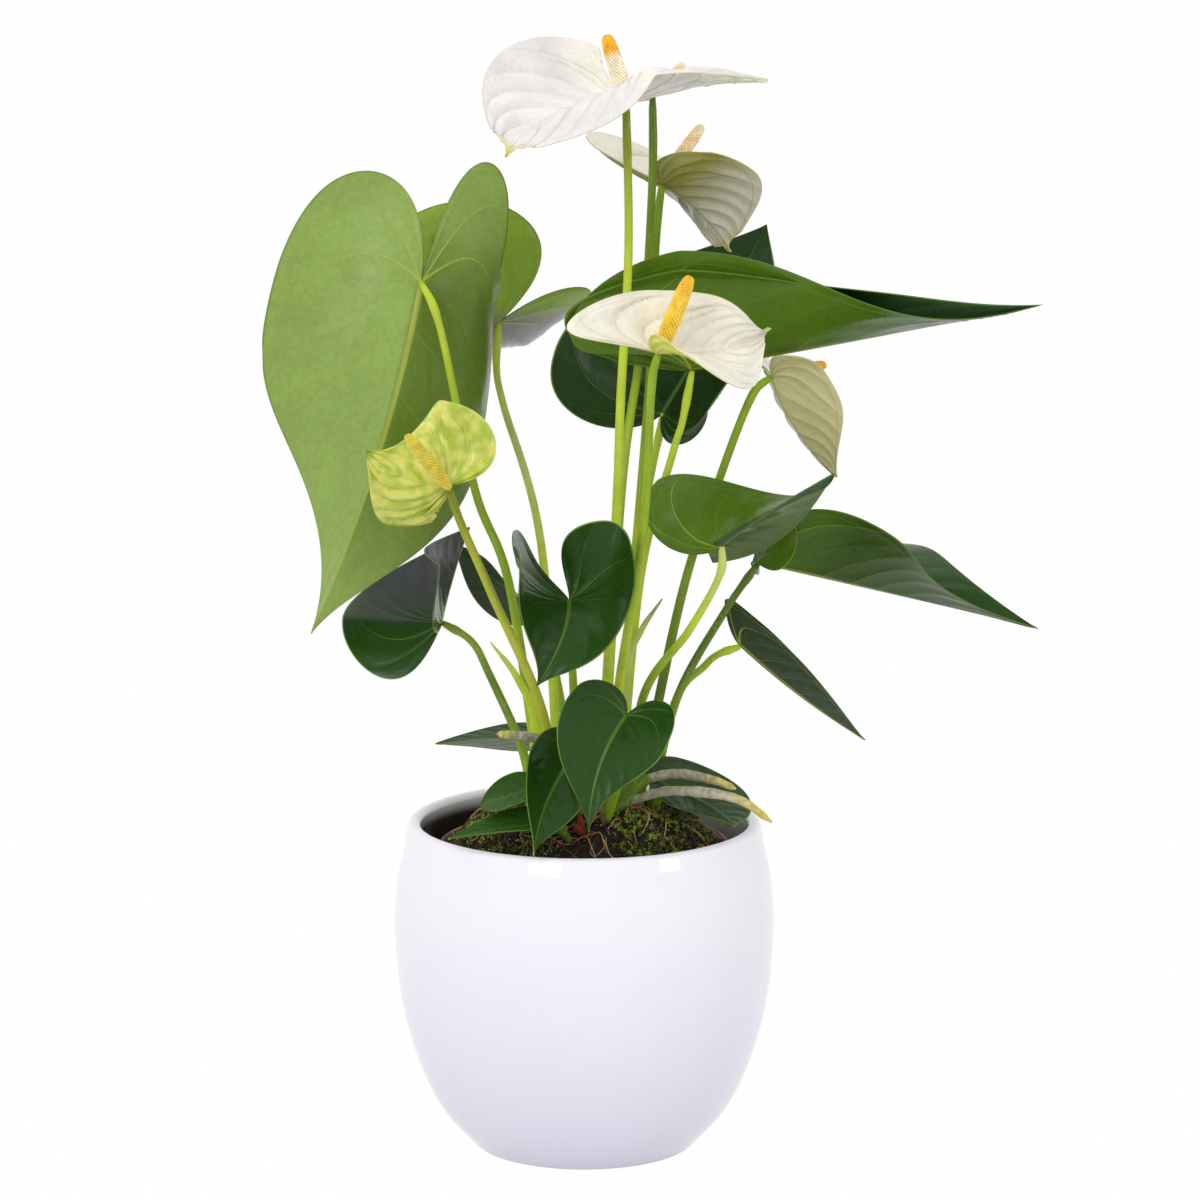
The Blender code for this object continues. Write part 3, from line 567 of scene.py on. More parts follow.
# The stage: the camera, and each lamp as (place, what it is aimed at, size, power).
CAMERA_PLACE = (0.0065, -1.900, 0.580)
CAMERA_PITCH = math.radians(79.56)
CAMERA_LENS = 140.7
CAMERA_SENSOR = 36.0
PLANT_MIDDLE = (0.0, 0.0, 0.25)
POT_SHOULDER = (0.0, 0.0, 0.13)
LAMPS = {
    "left_box": ((-0.64, -1.44, 1.19), PLANT_MIDDLE, (0.45, 0.55), 4.7),
    "right_box": ((1.33, -0.83, 1.19), PLANT_MIDDLE, (0.30, 0.50), 0.8),
    "left_window": ((-0.60, -1.28, 0.52), POT_SHOULDER, (0.50, 0.20), 1.2),
    "right_window": ((1.17, -0.80, 0.475), POT_SHOULDER, (0.34, 0.20), 0.65),
    "top_box": ((0.1, 0.5, 1.7), PLANT_MIDDLE, (1.0, 1.0), 2.0),
}
WORLD_LEVEL = 0.82
FLOOR_REACH = 30.0
FLOOR_GLOW = 0.985

# The short stem leans through the crown, and the bracts stand round it as (x, y, leaning in x and
# y for each unit up, length, half width).
SHORT_STEM = (
    (0.003, -0.027, 0.124),
    (0.010, -0.027, 0.142),
    (0.018, -0.025, 0.153),
    (0.026, -0.023, 0.161),
)
BRACTS = (
    (-0.004, -0.034, 0.35, -0.2, 0.009, 0.0018),
    (-0.001, -0.036, -0.30, -0.3, 0.007, 0.0016),
    (0.008, -0.035, 0.20, -0.2, 0.007, 0.0012),
    (0.021, -0.027, 0.30, -0.3, 0.006, 0.0012),
    (-0.008, -0.012, -0.3, 0.1, 0.008, 0.0016),
)
BRACT_POINTS = 12
BRACT_BURIED = 0.001
BRACT_WAVE = 0.0010


# --- Small tools ---------------------------------------------------------------------------------


def linear(red, green, blue):
    """A display colour (0 to 1) as the linear colour that shaders take."""
    return tuple(((c + 0.055) / 1.055) ** 2.4 if c > 0.04045 else c / 12.92 for c in (red, green, blue))


def smooth_step(low, high, values):
    t = np.clip((values - low) / (high - low), 0, 1)
    return t * t * (3 - 2 * t)


def read_along(at, places, rows):
    """Rows of three numbers that are given at places, read at other places between them."""
    return np.stack([np.interp(at, places, rows[:, axis]) for axis in range(3)], -1)


def values_of(items, name, width, kind=np.float32):
    """One property of every item, as rows of numbers."""
    values = np.empty(len(items) * width, kind)
    items.foreach_get(name, values)
    return values.reshape(-1, width)


def inside_cad_box(points):
    """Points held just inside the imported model's box."""
    low, high = (np.array(corner) for corner in CAD_BOX)
    return np.clip(points, low + BOX_CLEARANCE, high - BOX_CLEARANCE)


def new_mesh_object(name, points, faces, materials, face_materials=None, corner_uv=None):
    """A smooth-shaded mesh object at the origin, with its UV map where corner values are given."""
    mesh = bpy.data.meshes.new(name)
    mesh.from_pydata([tuple(point) for point in points], [], faces)
    for material in materials:
        mesh.materials.append(material)
    if face_materials is not None:
        mesh.polygons.foreach_set("material_index", face_materials)
    if corner_uv is not None:
        layer = mesh.uv_layers.new(name="UVMap")
        layer.data.foreach_set("uv", np.asarray(corner_uv, np.float32).ravel())
    mesh.shade_smooth()
    mesh.update()
    return placed(name, mesh)


def add_vector_attribute(mesh, name, values):
    layer = mesh.attributes.new(name, "FLOAT_VECTOR", "POINT")
    layer.data.foreach_set("vector", np.asarray(values, np.float32).ravel())


def placed(name, data):
    """A new object in the scene, at the origin."""
    made = bpy.data.objects.new(name, data)
    bpy.context.scene.collection.objects.link(made)
    return made


def welded(points, faces, corner_uv):
    """Coincident points made one, with the faces that collapse to a line left out."""
    keys = np.round(points / WELD_DISTANCE).astype(np.int64)
    _, first, index = np.unique(keys, axis=0, return_index=True, return_inverse=True)
    index = index.reshape(-1)
    kept_faces = []
    kept_uv = []
    for face, uv in zip(faces, corner_uv):
        corners = []
        corners_uv = []
        for corner, place in zip(face, uv):
            vertex = int(index[corner])
            if vertex not in corners:
                corners.append(vertex)
                corners_uv.append(place)
        if len(corners) > 2:
            kept_faces.append(corners)
            kept_uv.append(corners_uv)
    return first, kept_faces, kept_uv


def finish_piece(piece, slot, *nodes):
    """Tells the frame which body the piece rides on, and hides the imported parts that it stands for."""
    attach(piece, "root")
    if nodes:
        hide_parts(*nodes)


# --- Node tools ----------------------------------------------------------------------------------


class NodeTree:
    """A node tree, with one short call for each kind of node."""

    def __init__(self, tree):
        self.tree = tree

    def put(self, target, value):
        """Links the target to a socket, or sets it to a value."""
        if isinstance(value, bpy.types.NodeSocket):
            self.tree.links.new(value, target)
        elif isinstance(value, tuple) and len(value) == 3 and target.type == "RGBA":
            target.default_value = (*value, 1.0)
        else:
            target.default_value = value

    def add(self, kind, sockets=(), **settings):
        """A new node's outputs. Its inputs are given by name or number, each linked or set."""
        node = self.tree.nodes.new(kind)
        for name, value in settings.items():
            setattr(node, name, value)
        for target, value in dict(sockets).items():
            self.put(node.inputs[target], value)
        return node.outputs

    def math(self, operation, *values):
        return self.add("ShaderNodeMath", enumerate(values), operation=operation)[0]

    def times(self, first, second):
        return self.math("MULTIPLY", first, second)

    def total(self, first, *rest):
        for value in rest:
            first = self.math("ADD", first, value)
        return first

    def largest(self, first, *rest):
        for value in rest:
            first = self.math("MAXIMUM", first, value)
        return first

    def joined(self, x, y, z):
        return self.add("ShaderNodeCombineXYZ", {0: x, 1: y, 2: z})[0]

    def split(self, vector):
        return self.add("ShaderNodeSeparateXYZ", {0: vector})


class ShaderTree(NodeTree):
    """A material's node tree, which ends in its surface shader."""

    def __init__(self, name):
        self.material = bpy.data.materials.new(name)
        self.material.use_nodes = True
        super().__init__(self.material.node_tree)
        self.surface = self.tree.nodes["Principled BSDF"]

    def ramp(self, value, low, high, out_low=0.0, out_high=1.0, smooth=True):
        given = enumerate((value, low, high, out_low, out_high))
        kind = "SMOOTHSTEP" if smooth else "LINEAR"
        return self.add("ShaderNodeMapRange", given, interpolation_type=kind)[0]

    def mix(self, share, first, second):
        given = {"Factor": share, 6: first, 7: second}
        return self.add("ShaderNodeMix", given, data_type="RGBA")[2]

    def attribute(self, name):
        return self.add("ShaderNodeAttribute", attribute_name=name)["Vector"]

    def uv(self):
        return self.split(self.add("ShaderNodeUVMap", uv_map="UVMap")["UV"])

    def place(self):
        return self.add("ShaderNodeTexCoord")["Object"]

    def noise(self, scale, detail=3.0, vector=None):
        vector = self.place() if vector is None else vector
        given = {"Vector": vector, "Scale": scale, "Detail": detail}
        return self.add("ShaderNodeTexNoise", given)["Fac"]

    def cells(self, scale, feature="F1"):
        given = {"Vector": self.place(), "Scale": scale}
        return self.add("ShaderNodeTexVoronoi", given, feature=feature)["Distance"]

    def patchy(self, scale, low, high, detail=3.0):
        """A value that wanders between low and high in soft patches."""
        return self.ramp(self.noise(scale, detail), 0.3, 0.7, low, high)

    def bump(self, height, distance, strength):
        given = {"Height": height, "Distance": distance, "Strength": strength}
        self.put(self.surface.inputs["Normal"], self.add("ShaderNodeBump", given)[0])

    def finish(self, colour, roughness, **fixed):
        self.put(self.surface.inputs["Base Color"], colour)
        self.put(self.surface.inputs["Roughness"], roughness)
        for name, value in fixed.items():
            self.surface.inputs[name.replace("_", " ")].default_value = value
        return self.material


class GrowthTree(NodeTree):
    """A geometry tree with named inputs, the last of them its seed."""

    def __init__(self, name, inputs, on_ground=False):
        super().__init__(bpy.data.node_groups.new(name, "GeometryNodeTree"))
        face = self.tree.interface
        if on_ground:
            face.new_socket("Geometry", in_out="INPUT", socket_type="NodeSocketGeometry")
        for label, default in inputs.items():
            kind = "NodeSocketInt" if isinstance(default, int) else "NodeSocketFloat"
            face.new_socket(label, in_out="INPUT", socket_type=kind).default_value = default
        face.new_socket("Geometry", in_out="OUTPUT", socket_type="NodeSocketGeometry")
        self.given = self.add("NodeGroupInput")

    def chance(self, low, high):
        """A random number for each point, or a random vector where low and high are vectors."""
        vector = isinstance(low, tuple)
        kind, first, result = ("FLOAT_VECTOR", 0, 0) if vector else ("FLOAT", 2, 1)
        given = {first: low, first + 1: high, "Seed": self.given["Seed"]}
        return self.add("FunctionNodeRandomValue", given, data_type=kind)[result]

    def outline(self, stops, value):
        """A smooth curve through (place, height) stops, read at a value."""
        node = self.tree.nodes.new("ShaderNodeFloatCurve")
        curve = node.mapping.curves[0]
        for place, height in stops[1:-1]:
            curve.points.new(place, height)
        curve.points[0].location = stops[0]
        curve.points[-1].location = stops[-1]
        node.mapping.update()
        self.put(node.inputs["Value"], value)
        return node.outputs[0]

    def grow(self, points, shape, turn, size, material):
        """Ends the tree: the shape on every point, made real and given its material."""
        given = {"Points": points, "Instance": shape, "Rotation": turn, "Scale": size}
        spread = self.add("GeometryNodeInstanceOnPoints", given)[0]
        real = self.add("GeometryNodeRealizeInstances", {0: spread})[0]
        coat = self.add("GeometryNodeSetMaterial", {"Geometry": real, "Material": material})[0]
        self.add("NodeGroupOutput", {0: coat})
        return self.tree


def specks(tree, scale, size, amount):
    """Small scattered dots: 1 inside a dot, over a share of the cells."""
    dots = tree.ramp(tree.cells(scale), size, size * 0.4)
    patches = tree.ramp(tree.noise(scale * 0.21, 2.0), 1.0 - amount, 1.0 - amount + 0.08)
    return tree.times(dots, patches)


# --- Blades --------------------------------------------------------------------------------------


def bezier(a, b, c, d, t):
    return a * (1 - t) ** 3 + 3 * b * t * (1 - t) ** 2 + 3 * c * t**2 * (1 - t) + d * t**3


def margin(blade, side, s):
    """Half of a heart's outline, from the notch (s = 0) round the basal lobe to the tip (s = 1).

    Gives the place along the midrib, as a share of its length, and the share of the half width.
    """
    lobe = blade["lobe"][0 if side > 0 else 1]
    # With its inner handles here, the middle of the lobe's curve lies a lobe's length behind.
    back = -(lobe + 0.125 * blade["shoulder"]) / 0.75
    lobe_t = np.clip(2 * s, 0, 1)
    side_t = np.clip(2 * s - 1, 0, 1)
    taper_along, taper_out = blade["taper"]
    along_lobe = bezier(0.0, back, back, blade["shoulder"], lobe_t)
    out_lobe = bezier(0.0, blade["sinus"], 1.0, 1.0, lobe_t)
    reach = blade["shoulder"] + SHOULDER_REACH
    along_side = bezier(blade["shoulder"], reach, taper_along, 1.0, side_t)
    out_side = bezier(1.0, 1.0, taper_out, 0.0, side_t)
    return np.where(s < 0.5, along_lobe, along_side), np.where(s < 0.5, out_lobe, out_side)


def normalised(vector):
    vector = np.asarray(vector, float)
    return vector / np.linalg.norm(vector)


def spine(blade):
    """Places and frames (along, across, up) down a midrib of length 1, as it arches and sweeps."""
    share = np.linspace(0, 1, SPINE_STEPS + 1)
    arch, sweep, twist = (np.radians(blade[bend]) * share for bend in ("arch", "sweep", "twist"))
    along = np.stack([np.cos(sweep) * np.cos(arch), np.sin(sweep) * np.cos(arch), -np.sin(arch)], 1)
    level = np.stack([-np.sin(sweep), np.cos(sweep), 0 * share], 1)
    upright = np.cross(along, level)
    across = level * np.cos(twist)[:, None] + upright * np.sin(twist)[:, None]
    up = np.cross(along, across)
    middles = (along[1:] + along[:-1]) / 2
    places = np.concatenate([np.zeros((1, 3)), np.cumsum(middles, 0) / SPINE_STEPS])
    return share, places, across, up


def blade_placing(blade):
    """The midrib's length and the rotation that puts the blade's tip and upper side in place."""
    _, places, _, _ = spine(blade)
    reach = places[-1]
    chord = np.subtract(blade["tip"], blade["junction"])
    length = np.linalg.norm(chord) / np.linalg.norm(reach)
    frames = []
    for forward, face in ((reach, (0, 0, 1)), (chord, blade["faces"])):
        forward = normalised(forward)
        up = normalised(face - np.dot(face, forward) * forward)
        frames.append(np.stack([forward, np.cross(up, forward), up]))
    return length, frames[0].T @ frames[1]


def blade_points(blade, side, s, r):
    """Points of a half blade's lower face. s runs along the margin and r from the midrib out."""
    index = 0 if side > 0 else 1
    fold, curl, lift = (math.radians(blade[bend][index]) for bend in ("fold", "curl", "lift"))
    curl = curl if abs(curl) > LEAST_BEND else LEAST_BEND
    lift = lift if abs(lift) > LEAST_BEND else LEAST_BEND
    length, rotation = blade_placing(blade)
    half = blade["width"] / 2
    margin_along, margin_out = margin(blade, side, s)
    margin_along = margin_along * length
    margin_out = margin_out * half
    centre = np.clip(margin_along - VEIN_LEAD * margin_out, 0, length)
    x = centre + r * (margin_along - centre)
    out = r * margin_out
    angle = fold + curl * out / half
    run = half * (np.sin(angle) - math.sin(fold)) / curl
    rise = half * (math.cos(fold) - np.cos(angle)) / curl
    lobe_length = blade["lobe"][index] * length
    lift_angle = lift * np.clip(-x, 0, None) / lobe_length
    back = -lobe_length * np.sin(lift_angle) / lift - rise * np.sin(lift_angle)
    raised = lobe_length * (1 - np.cos(lift_angle)) / lift + rise * np.cos(lift_angle)
    lobe = np.stack([back, side * run, raised], -1)
    share, places, across, up = spine(blade)
    at = np.clip(x / length, 0, 1)
    front = read_along(at, share, places) * length
    front = front + read_along(at, share, across) * (side * run)[..., None]
    front = front + read_along(at, share, up) * rise[..., None]
    local = np.where((x < 0)[..., None], lobe, front)
    return local @ rotation + np.array(blade["junction"])


def vein_distance(veins, s, r, spread):
    """Distance in metres to the nearest large vein, for places on a half blade."""
    nearest = np.full_like(s, FAR_AWAY)
    for place, bend, _ in veins["mains"]:
        nearest = np.minimum(nearest, np.abs(s - place - bend * r**2) * spread)
    start, count, bend = veins["sides"]
    waves = (s - bend * r**2) * count
    between = np.abs(waves - np.floor(waves) - 0.5) / count * spread
    return np.minimum(nearest, np.where(s - bend * r**2 > start, between, FAR_AWAY))


def relief(veins, s, r, out, along, spread, depths):
    """How far a blade's surface stands off its sheet: creased along the veins, puffed between."""
    crease_depth, puff_depth, puff_width = depths
    midrib = np.where(along > 0, out, FAR_AWAY)
    distance = np.minimum(vein_distance(veins, s, r, spread), midrib)
    crease = crease_depth * (1 - np.exp(-((distance / CREASE_WIDTH) ** 2)))
    uneven = 1 + PUFF_UNEVEN * np.sin(13 * s + 6 * r) * np.sin(8 * r - 5 * s + 1)
    puff = puff_depth * uneven * (1 - np.exp(-((distance / puff_width) ** 2)))
    window = smooth_step(*MIDRIB_FADE, r) * (1 - smooth_step(*MARGIN_FADE, r))
    return (crease + puff - RELIEF_SUNK * (crease_depth + puff_depth)) * window


def blade_grid(blade, side, tail):
    """Points, margin places, shares out and vein measures on a half blade."""
    rays = np.linspace(0, 1, FINE_RAYS)
    columns = np.sin(np.linspace(0, math.pi / 2, FINE_COLUMNS))
    s, r = np.meshgrid(rays, columns, indexing="ij")
    r = r * (1 - tail * smooth_step(*TAIL_SPAN, s))
    points = blade_points(blade, side, s, r)
    length, _ = blade_placing(blade)
    margin_along, margin_out = margin(blade, side, s)
    out = r * margin_out * blade["width"] / 2
    centre = np.clip(margin_along - VEIN_LEAD * margin_out * blade["width"] / 2 / length, 0, 1)
    along = centre + r * (margin_along - centre)
    step = np.linalg.norm(np.diff(points, axis=0), axis=2) * (FINE_RAYS - 1)
    spread = np.concatenate([step[:1], (step[1:] + step[:-1]) / 2, step[-1:]])
    return points, s, r, along, out, spread


def sheet_normals(points, faces):
    mesh = bpy.data.meshes.new("sheet")
    mesh.from_pydata([tuple(point) for point in points], [], faces)
    mesh.update()
    normals = values_of(mesh.vertices, "normal", 3).astype(float)
    bpy.data.meshes.remove(mesh)
    return normals


def sheet_rim(faces, corner_uv, count):
    """Faces that close a sheet's open edges, from each point to its copy that is count later."""
    uses = {}
    for face, uv in zip(faces, corner_uv):
        for k, start in enumerate(face):
            following = (k + 1) % len(face)
            uses[(start, face[following])] = (uv[k], uv[following])
    rim_faces, rim_uv = [], []
    for (start, stop), (uv_start, uv_stop) in uses.items():
        if (stop, start) not in uses:
            rim_faces.append([stop, start, start + count, stop + count])
            rim_uv.append([uv_stop, uv_start, uv_start, uv_stop])
    return rim_faces, rim_uv


def blade_sheet(blade, veins, depths, tail):
    """A blade's lower face: points, faces, corner UVs, vein measures and heights of its relief."""
    points, faces, corner_uv, measures, heights = [], [], [], [], []
    for half, side in enumerate((1, -1)):
        grid, s, r, along, out, spread = blade_grid(blade, side, tail)
        index = half * s.size + np.arange(s.size).reshape(s.shape)
        ripple = MARGIN_RIPPLE * blade["width"] * np.sin(RIPPLE_WAVES * s + RIPPLE_SHIFT * side)
        ripple *= r**4
        ripple *= np.sin(math.pi * s)
        heights.append((relief(veins, s, r, out, along, spread, depths) + ripple).ravel())
        points.append(grid.reshape(-1, 3))
        measures.append(np.stack([along, out, spread], -1).reshape(-1, 3))
        uv = np.stack([0.5 + 0.5 * side * s, r], -1)
        for i in range(FINE_RAYS - 1):
            for j in range(FINE_COLUMNS - 1):
                corners = [(i, j), (i, j + 1), (i + 1, j + 1), (i + 1, j)][::side]
                faces.append([int(index[corner]) for corner in corners])
                corner_uv.append([tuple(uv[corner]) for corner in corners])
    points = np.concatenate(points)
    first, faces, corner_uv = welded(points, faces, corner_uv)
    return points[first], faces, corner_uv, np.concatenate(measures)[first], np.concatenate(heights)[first]


def make_blade(name, blade, veins, depths, thickness, materials, tail=0.0):
    """A two-sided blade: the upper side, the underside and the thin edge between them."""
    points, faces, corner_uv, measures, heights = blade_sheet(blade, veins, depths, tail)
    normals = sheet_normals(points, faces)
    if np.array(blade["faces"]) @ normals.mean(0) < 0:
        faces = [face[::-1] for face in faces]
        corner_uv = [uv[::-1] for uv in corner_uv]
        normals = -normals
    lower = points + normals * heights[:, None]
    upper = lower + normals * thickness
    count = len(points)
    rim_faces, rim_uv = sheet_rim(faces, corner_uv, count)
    under_faces = [[corner + count for corner in reversed(face)] for face in faces]
    under_uv = [uv[::-1] for uv in corner_uv]
    made = new_mesh_object(
        name,
        inside_cad_box(np.concatenate([upper, lower])),
        faces + under_faces + rim_faces,
        materials,
        [0] * len(faces) + [1] * (len(under_faces) + len(rim_faces)),
        [place for group in (corner_uv, under_uv, rim_uv) for uv in group for place in uv],
    )
    add_vector_attribute(made.data, "place", np.concatenate([measures, measures]))
    return made


# --- Tubes ---------------------------------------------------------------------------------------


def smooth_path(points, count):
    """Evenly spread points on the smooth curve through the given ones."""
    points = [np.array(point, float) for point in points]
    ends = [2 * points[0] - points[1], *points, 2 * points[-1] - points[-2]]
    dense = []
    for before, start, stop, after in zip(ends, ends[1:], ends[2:], ends[3:]):
        for t in np.linspace(0, 1, SPAN_STEPS, endpoint=False):
            straight = 2 * start + (stop - before) * t
            bent = (2 * before - 5 * start + 4 * stop - after) * t**2
            twisted = (3 * start - before - 3 * stop + after) * t**3
            dense.append((straight + bent + twisted) / 2)
    dense = np.array([*dense, points[-1]])
    lengths = lengths_along(dense)
    return read_along(np.linspace(0, lengths[-1], count), lengths, dense)


def lengths_along(points):
    """How far each point is from the first, along the line through them."""
    return np.concatenate([[0], np.cumsum(np.linalg.norm(np.diff(points, axis=0), axis=1))])


def path_frames(path):
    """Two directions across the path at each point, turned no more than they have to be."""
    tangents = np.gradient(path, axis=0)
    tangents /= np.linalg.norm(tangents, axis=1)[:, None]
    across = np.cross(tangents[0], (0.0, 1.0, 0.1))
    rows = []
    for tangent in tangents:
        across = across - tangent * (across @ tangent)
        across /= np.linalg.norm(across)
        rows.append(np.stack([across, np.cross(tangent, across)]))
    return np.array(rows)


def ring_faces(steps, shares, downwards=False):
    """Faces and UVs between rings of points, going up or down. shares: each ring's place in the UV."""
    faces, uv = [], []
    for i in range(len(shares) - 1):
        for k in range(steps):
            corners = [(i, k), (i, k + 1), (i + 1, k + 1), (i + 1, k)]
            if downwards:
                corners[1:] = corners[:0:-1]
            faces.append([row * steps + across % steps for row, across in corners])
            uv.append([(across / steps, shares[row]) for row, across in corners])
    return faces, uv


def tube_parts(path, radii, flat=None, grooves=0.0, sides=TUBE_SIDES):
    """Points, faces and corner UVs of a closed rod on the path, round or flattened."""
    frames = path_frames(path)
    count = len(path)
    angles = np.linspace(0, 2 * math.pi, sides, endpoint=False)
    swell = 1 + grooves * np.cos(STALK_RIDGES * angles)
    flat = np.ones(count) if flat is None else flat
    across = (radii[:, None] * (np.cos(angles) * swell))[..., None] * frames[:, None, 0]
    aside = (radii[:, None] * flat[:, None] * (np.sin(angles) * swell))[..., None] * frames[:, None, 1]
    rings = path[:, None] + across + aside
    points = np.concatenate([rings.reshape(-1, 3), path[:1], path[-1:]])
    faces, face_uv = ring_faces(sides, np.linspace(0, 1, count))
    uv = [place for places in face_uv for place in places]
    last = (count - 1) * sides
    for k in range(sides):
        after = (k + 1) % sides
        faces.append([after, k, count * sides])
        uv += [(0.5, 0.0)] * 3
        faces.append([last + k, last + after, count * sides + 1])
        uv += [(0.5, 1.0)] * 3
    return points, faces, uv


def make_tube(name, path, radii, material, flat=None, grooves=0.0):
    """A closed rod on the path as an object of its own."""
    points, faces, uv = tube_parts(path, radii, flat, grooves)
    return new_mesh_object(name, inside_cad_box(points), faces, [material], corner_uv=uv)


def make_bundle(name, parts, colours, material):
    """Many small closed pieces, each in its own colour, made one object."""
    all_points, all_faces, all_uv, tints = [], [], [], []
    start = 0
    for (points, faces, uv), colour in zip(parts, colours):
        all_points.append(points)
        all_faces += [[corner + start for corner in face] for face in faces]
        all_uv += uv
        tints += [colour] * len(points)
        start += len(points)
    points = inside_cad_box(np.concatenate(all_points))
    made = new_mesh_object(name, points, all_faces, [material], corner_uv=all_uv)
    tint_points(made, tints)
    return made


def joined_pieces(name, first, second):
    """Two objects made into one piece."""
    bpy.ops.object.select_all(action="DESELECT")
    first.select_set(True)
    second.select_set(True)
    bpy.context.view_layer.objects.active = first
    bpy.ops.object.join()
    first.name = name
    return first


def stalk_path(blade):
    """The way of a stalk, from just under the soil to the blade's junction."""
    foot, *way = blade["stalk"]
    start = (*foot, SOIL_TOP - STALK_BURIED)
    rising = (*foot, SOIL_TOP + STALK_RISE)
    return smooth_path([start, rising, *way, blade["junction"]], STALK_RINGS)


def stalk_radii(radii, swollen):
    """Radii up a stalk: wider at the foot, with a thicker joint just under the blade."""
    share = np.linspace(0, 1, STALK_RINGS)
    width = np.interp(share, np.linspace(0, 1, len(radii)), radii)
    foot = 1 + FOOT_SWELL * np.exp(-share / FOOT_SPAN)
    joint = 1 + swollen * np.exp(-(((share - JOINT_PLACE) / JOINT_SPAN) ** 2))
    neck = 1 - NECK_WAIST * smooth_step(NECK_PLACE, 1.0, share)
    return width * foot * joint * neck


def turned(name, profile, steps, material):
    """A profile of (radius, height) points, from the top down the outer side, spun about +Z."""
    profile = np.array(profile)
    angles = np.linspace(0, 2 * math.pi, steps, endpoint=False)
    ring = np.stack([np.cos(angles), np.sin(angles)], 1)
    points = np.array([(radius * x, radius * y, height) for radius, height in profile for x, y in ring])
    lengths = lengths_along(profile)
    faces, uv = ring_faces(steps, lengths / lengths[-1], downwards=True)
    first, faces, uv = welded(points, faces, uv)
    flat_uv = [place for places in uv for place in places]
    return new_mesh_object(name, inside_cad_box(points[first]), faces, [material], corner_uv=flat_uv)


# --- Finishes ------------------------------------------------------------------------------------


def mottled(tree, colour, dark, light, scale=45.0):
    """The colour made a little darker and lighter in soft patches."""
    broad = tree.times(tree.noise(scale, 3.0), 0.7)
    fine = tree.times(tree.noise(scale * 9, 2.0), 0.3)
    level = tree.ramp(tree.total(broad, fine), 0.3, 0.7, dark, light)
    return tree.add("ShaderNodeVectorMath", {0: colour, "Scale": level}, operation="SCALE")[0]


def vein_masks(tree, habit, widths):
    """Masks over a blade: the large veins, the side veins and the line along the margin."""
    main_width, side_width, midrib_width = widths
    u, r, _ = tree.uv()
    along, out, spread = tree.split(tree.attribute("place"))
    thinning = tree.ramp(r, 0.0, 1.0, 1.0, 0.22, smooth=False)

    def away(value, middle):
        return tree.math("ABSOLUTE", tree.math("SUBTRACT", value, middle))

    def line(distance, width):
        near = tree.math("DIVIDE", distance, tree.times(thinning, width))
        return tree.ramp(near, 0.5, 1.4, 1.0, 0.0)

    s = tree.times(away(u, 0.5), 2.0)
    squared = tree.times(r, r)
    mains = []
    for place, bend, share in habit["mains"]:
        middle = tree.total(tree.times(squared, bend), place)
        mains.append(line(tree.times(away(s, middle), spread), main_width * share))
    midrib = tree.math("DIVIDE", out, tree.ramp(along, 0.0, 1.0, midrib_width, midrib_width * 0.3))
    midrib = tree.ramp(midrib, 0.7, 1.3, 1.0, 0.0)
    mains.append(tree.times(midrib, tree.ramp(along, -0.01, 0.01)))
    start, count, bend = habit["sides"]
    shifted = tree.math("SUBTRACT", s, tree.times(squared, bend))
    wave = tree.math("FRACT", tree.times(shifted, count))
    between = tree.times(tree.math("DIVIDE", away(wave, 0.5), count), spread)
    sides = tree.times(line(between, side_width), tree.ramp(shifted, start - 0.02, start + 0.02))
    reach = tree.largest(tree.math("DIVIDE", out, tree.largest(r, 0.05)), 0.006)
    collecting = tree.times(away(r, COLLECTING_VEIN), reach)
    collecting = tree.ramp(collecting, side_width * 0.3, side_width * 0.9, 1.0, 0.0)
    sides = tree.largest(sides, tree.times(collecting, 0.8))
    return tree.largest(*mains), sides, tree.ramp(r, *MARGIN_LINE)


def fine_net(tree, scale):
    """The finest veins, as a net of thin lines."""
    return tree.ramp(tree.cells(scale, "DISTANCE_TO_EDGE"), 0.010, 0.035, 1.0, 0.0)


def blade_finish(name, habit, vein_colour, edge_colour):
    """A blade's side: its own tint with veins, fine net, soft mottling and gloss."""
    tree = ShaderTree(name)
    side = BLADE_SIDES[name]
    speckle = side["speckle"]
    veins, sides, edge = vein_masks(tree, habit, side["widths"])
    net = tree.times(fine_net(tree, 130.0), tree.ramp(tree.noise(40.0), 0.45, 0.60))
    colour = mottled(tree, tree.attribute("tint"), 0.93, 1.08)
    colour = mottled(tree, colour, 1 - speckle, 1 + speckle, 420.0)
    darker = tree.mix(0.55, colour, (0.0, 0.02, 0.0))
    colour = tree.mix(tree.times(net, side["net"]), colour, darker)
    vein_colour = tree.mix(side["vein_tone"], colour, vein_colour)
    colour = tree.mix(tree.times(sides, side["side_veins"]), colour, vein_colour)
    colour = tree.mix(tree.times(veins, side["large_veins"]), colour, vein_colour)
    colour = tree.mix(tree.times(edge, side["edge"]), colour, edge_colour)
    dust = specks(tree, 700.0, 0.22, 0.30)
    colour = tree.mix(tree.times(dust, 1.6 * speckle), colour, linear(0.72, 0.76, 0.62))
    height = tree.total(
        tree.times(tree.largest(veins, sides), side["relief"]),
        tree.times(net, -side["net"]),
        tree.times(tree.noise(900.0, 2.0), 2.0 * speckle),
    )
    tree.bump(height, 0.0002, 0.5)
    return tree.finish(colour, tree.patchy(70.0, *side["gloss"]), Specular_IOR_Level=side["specular"])


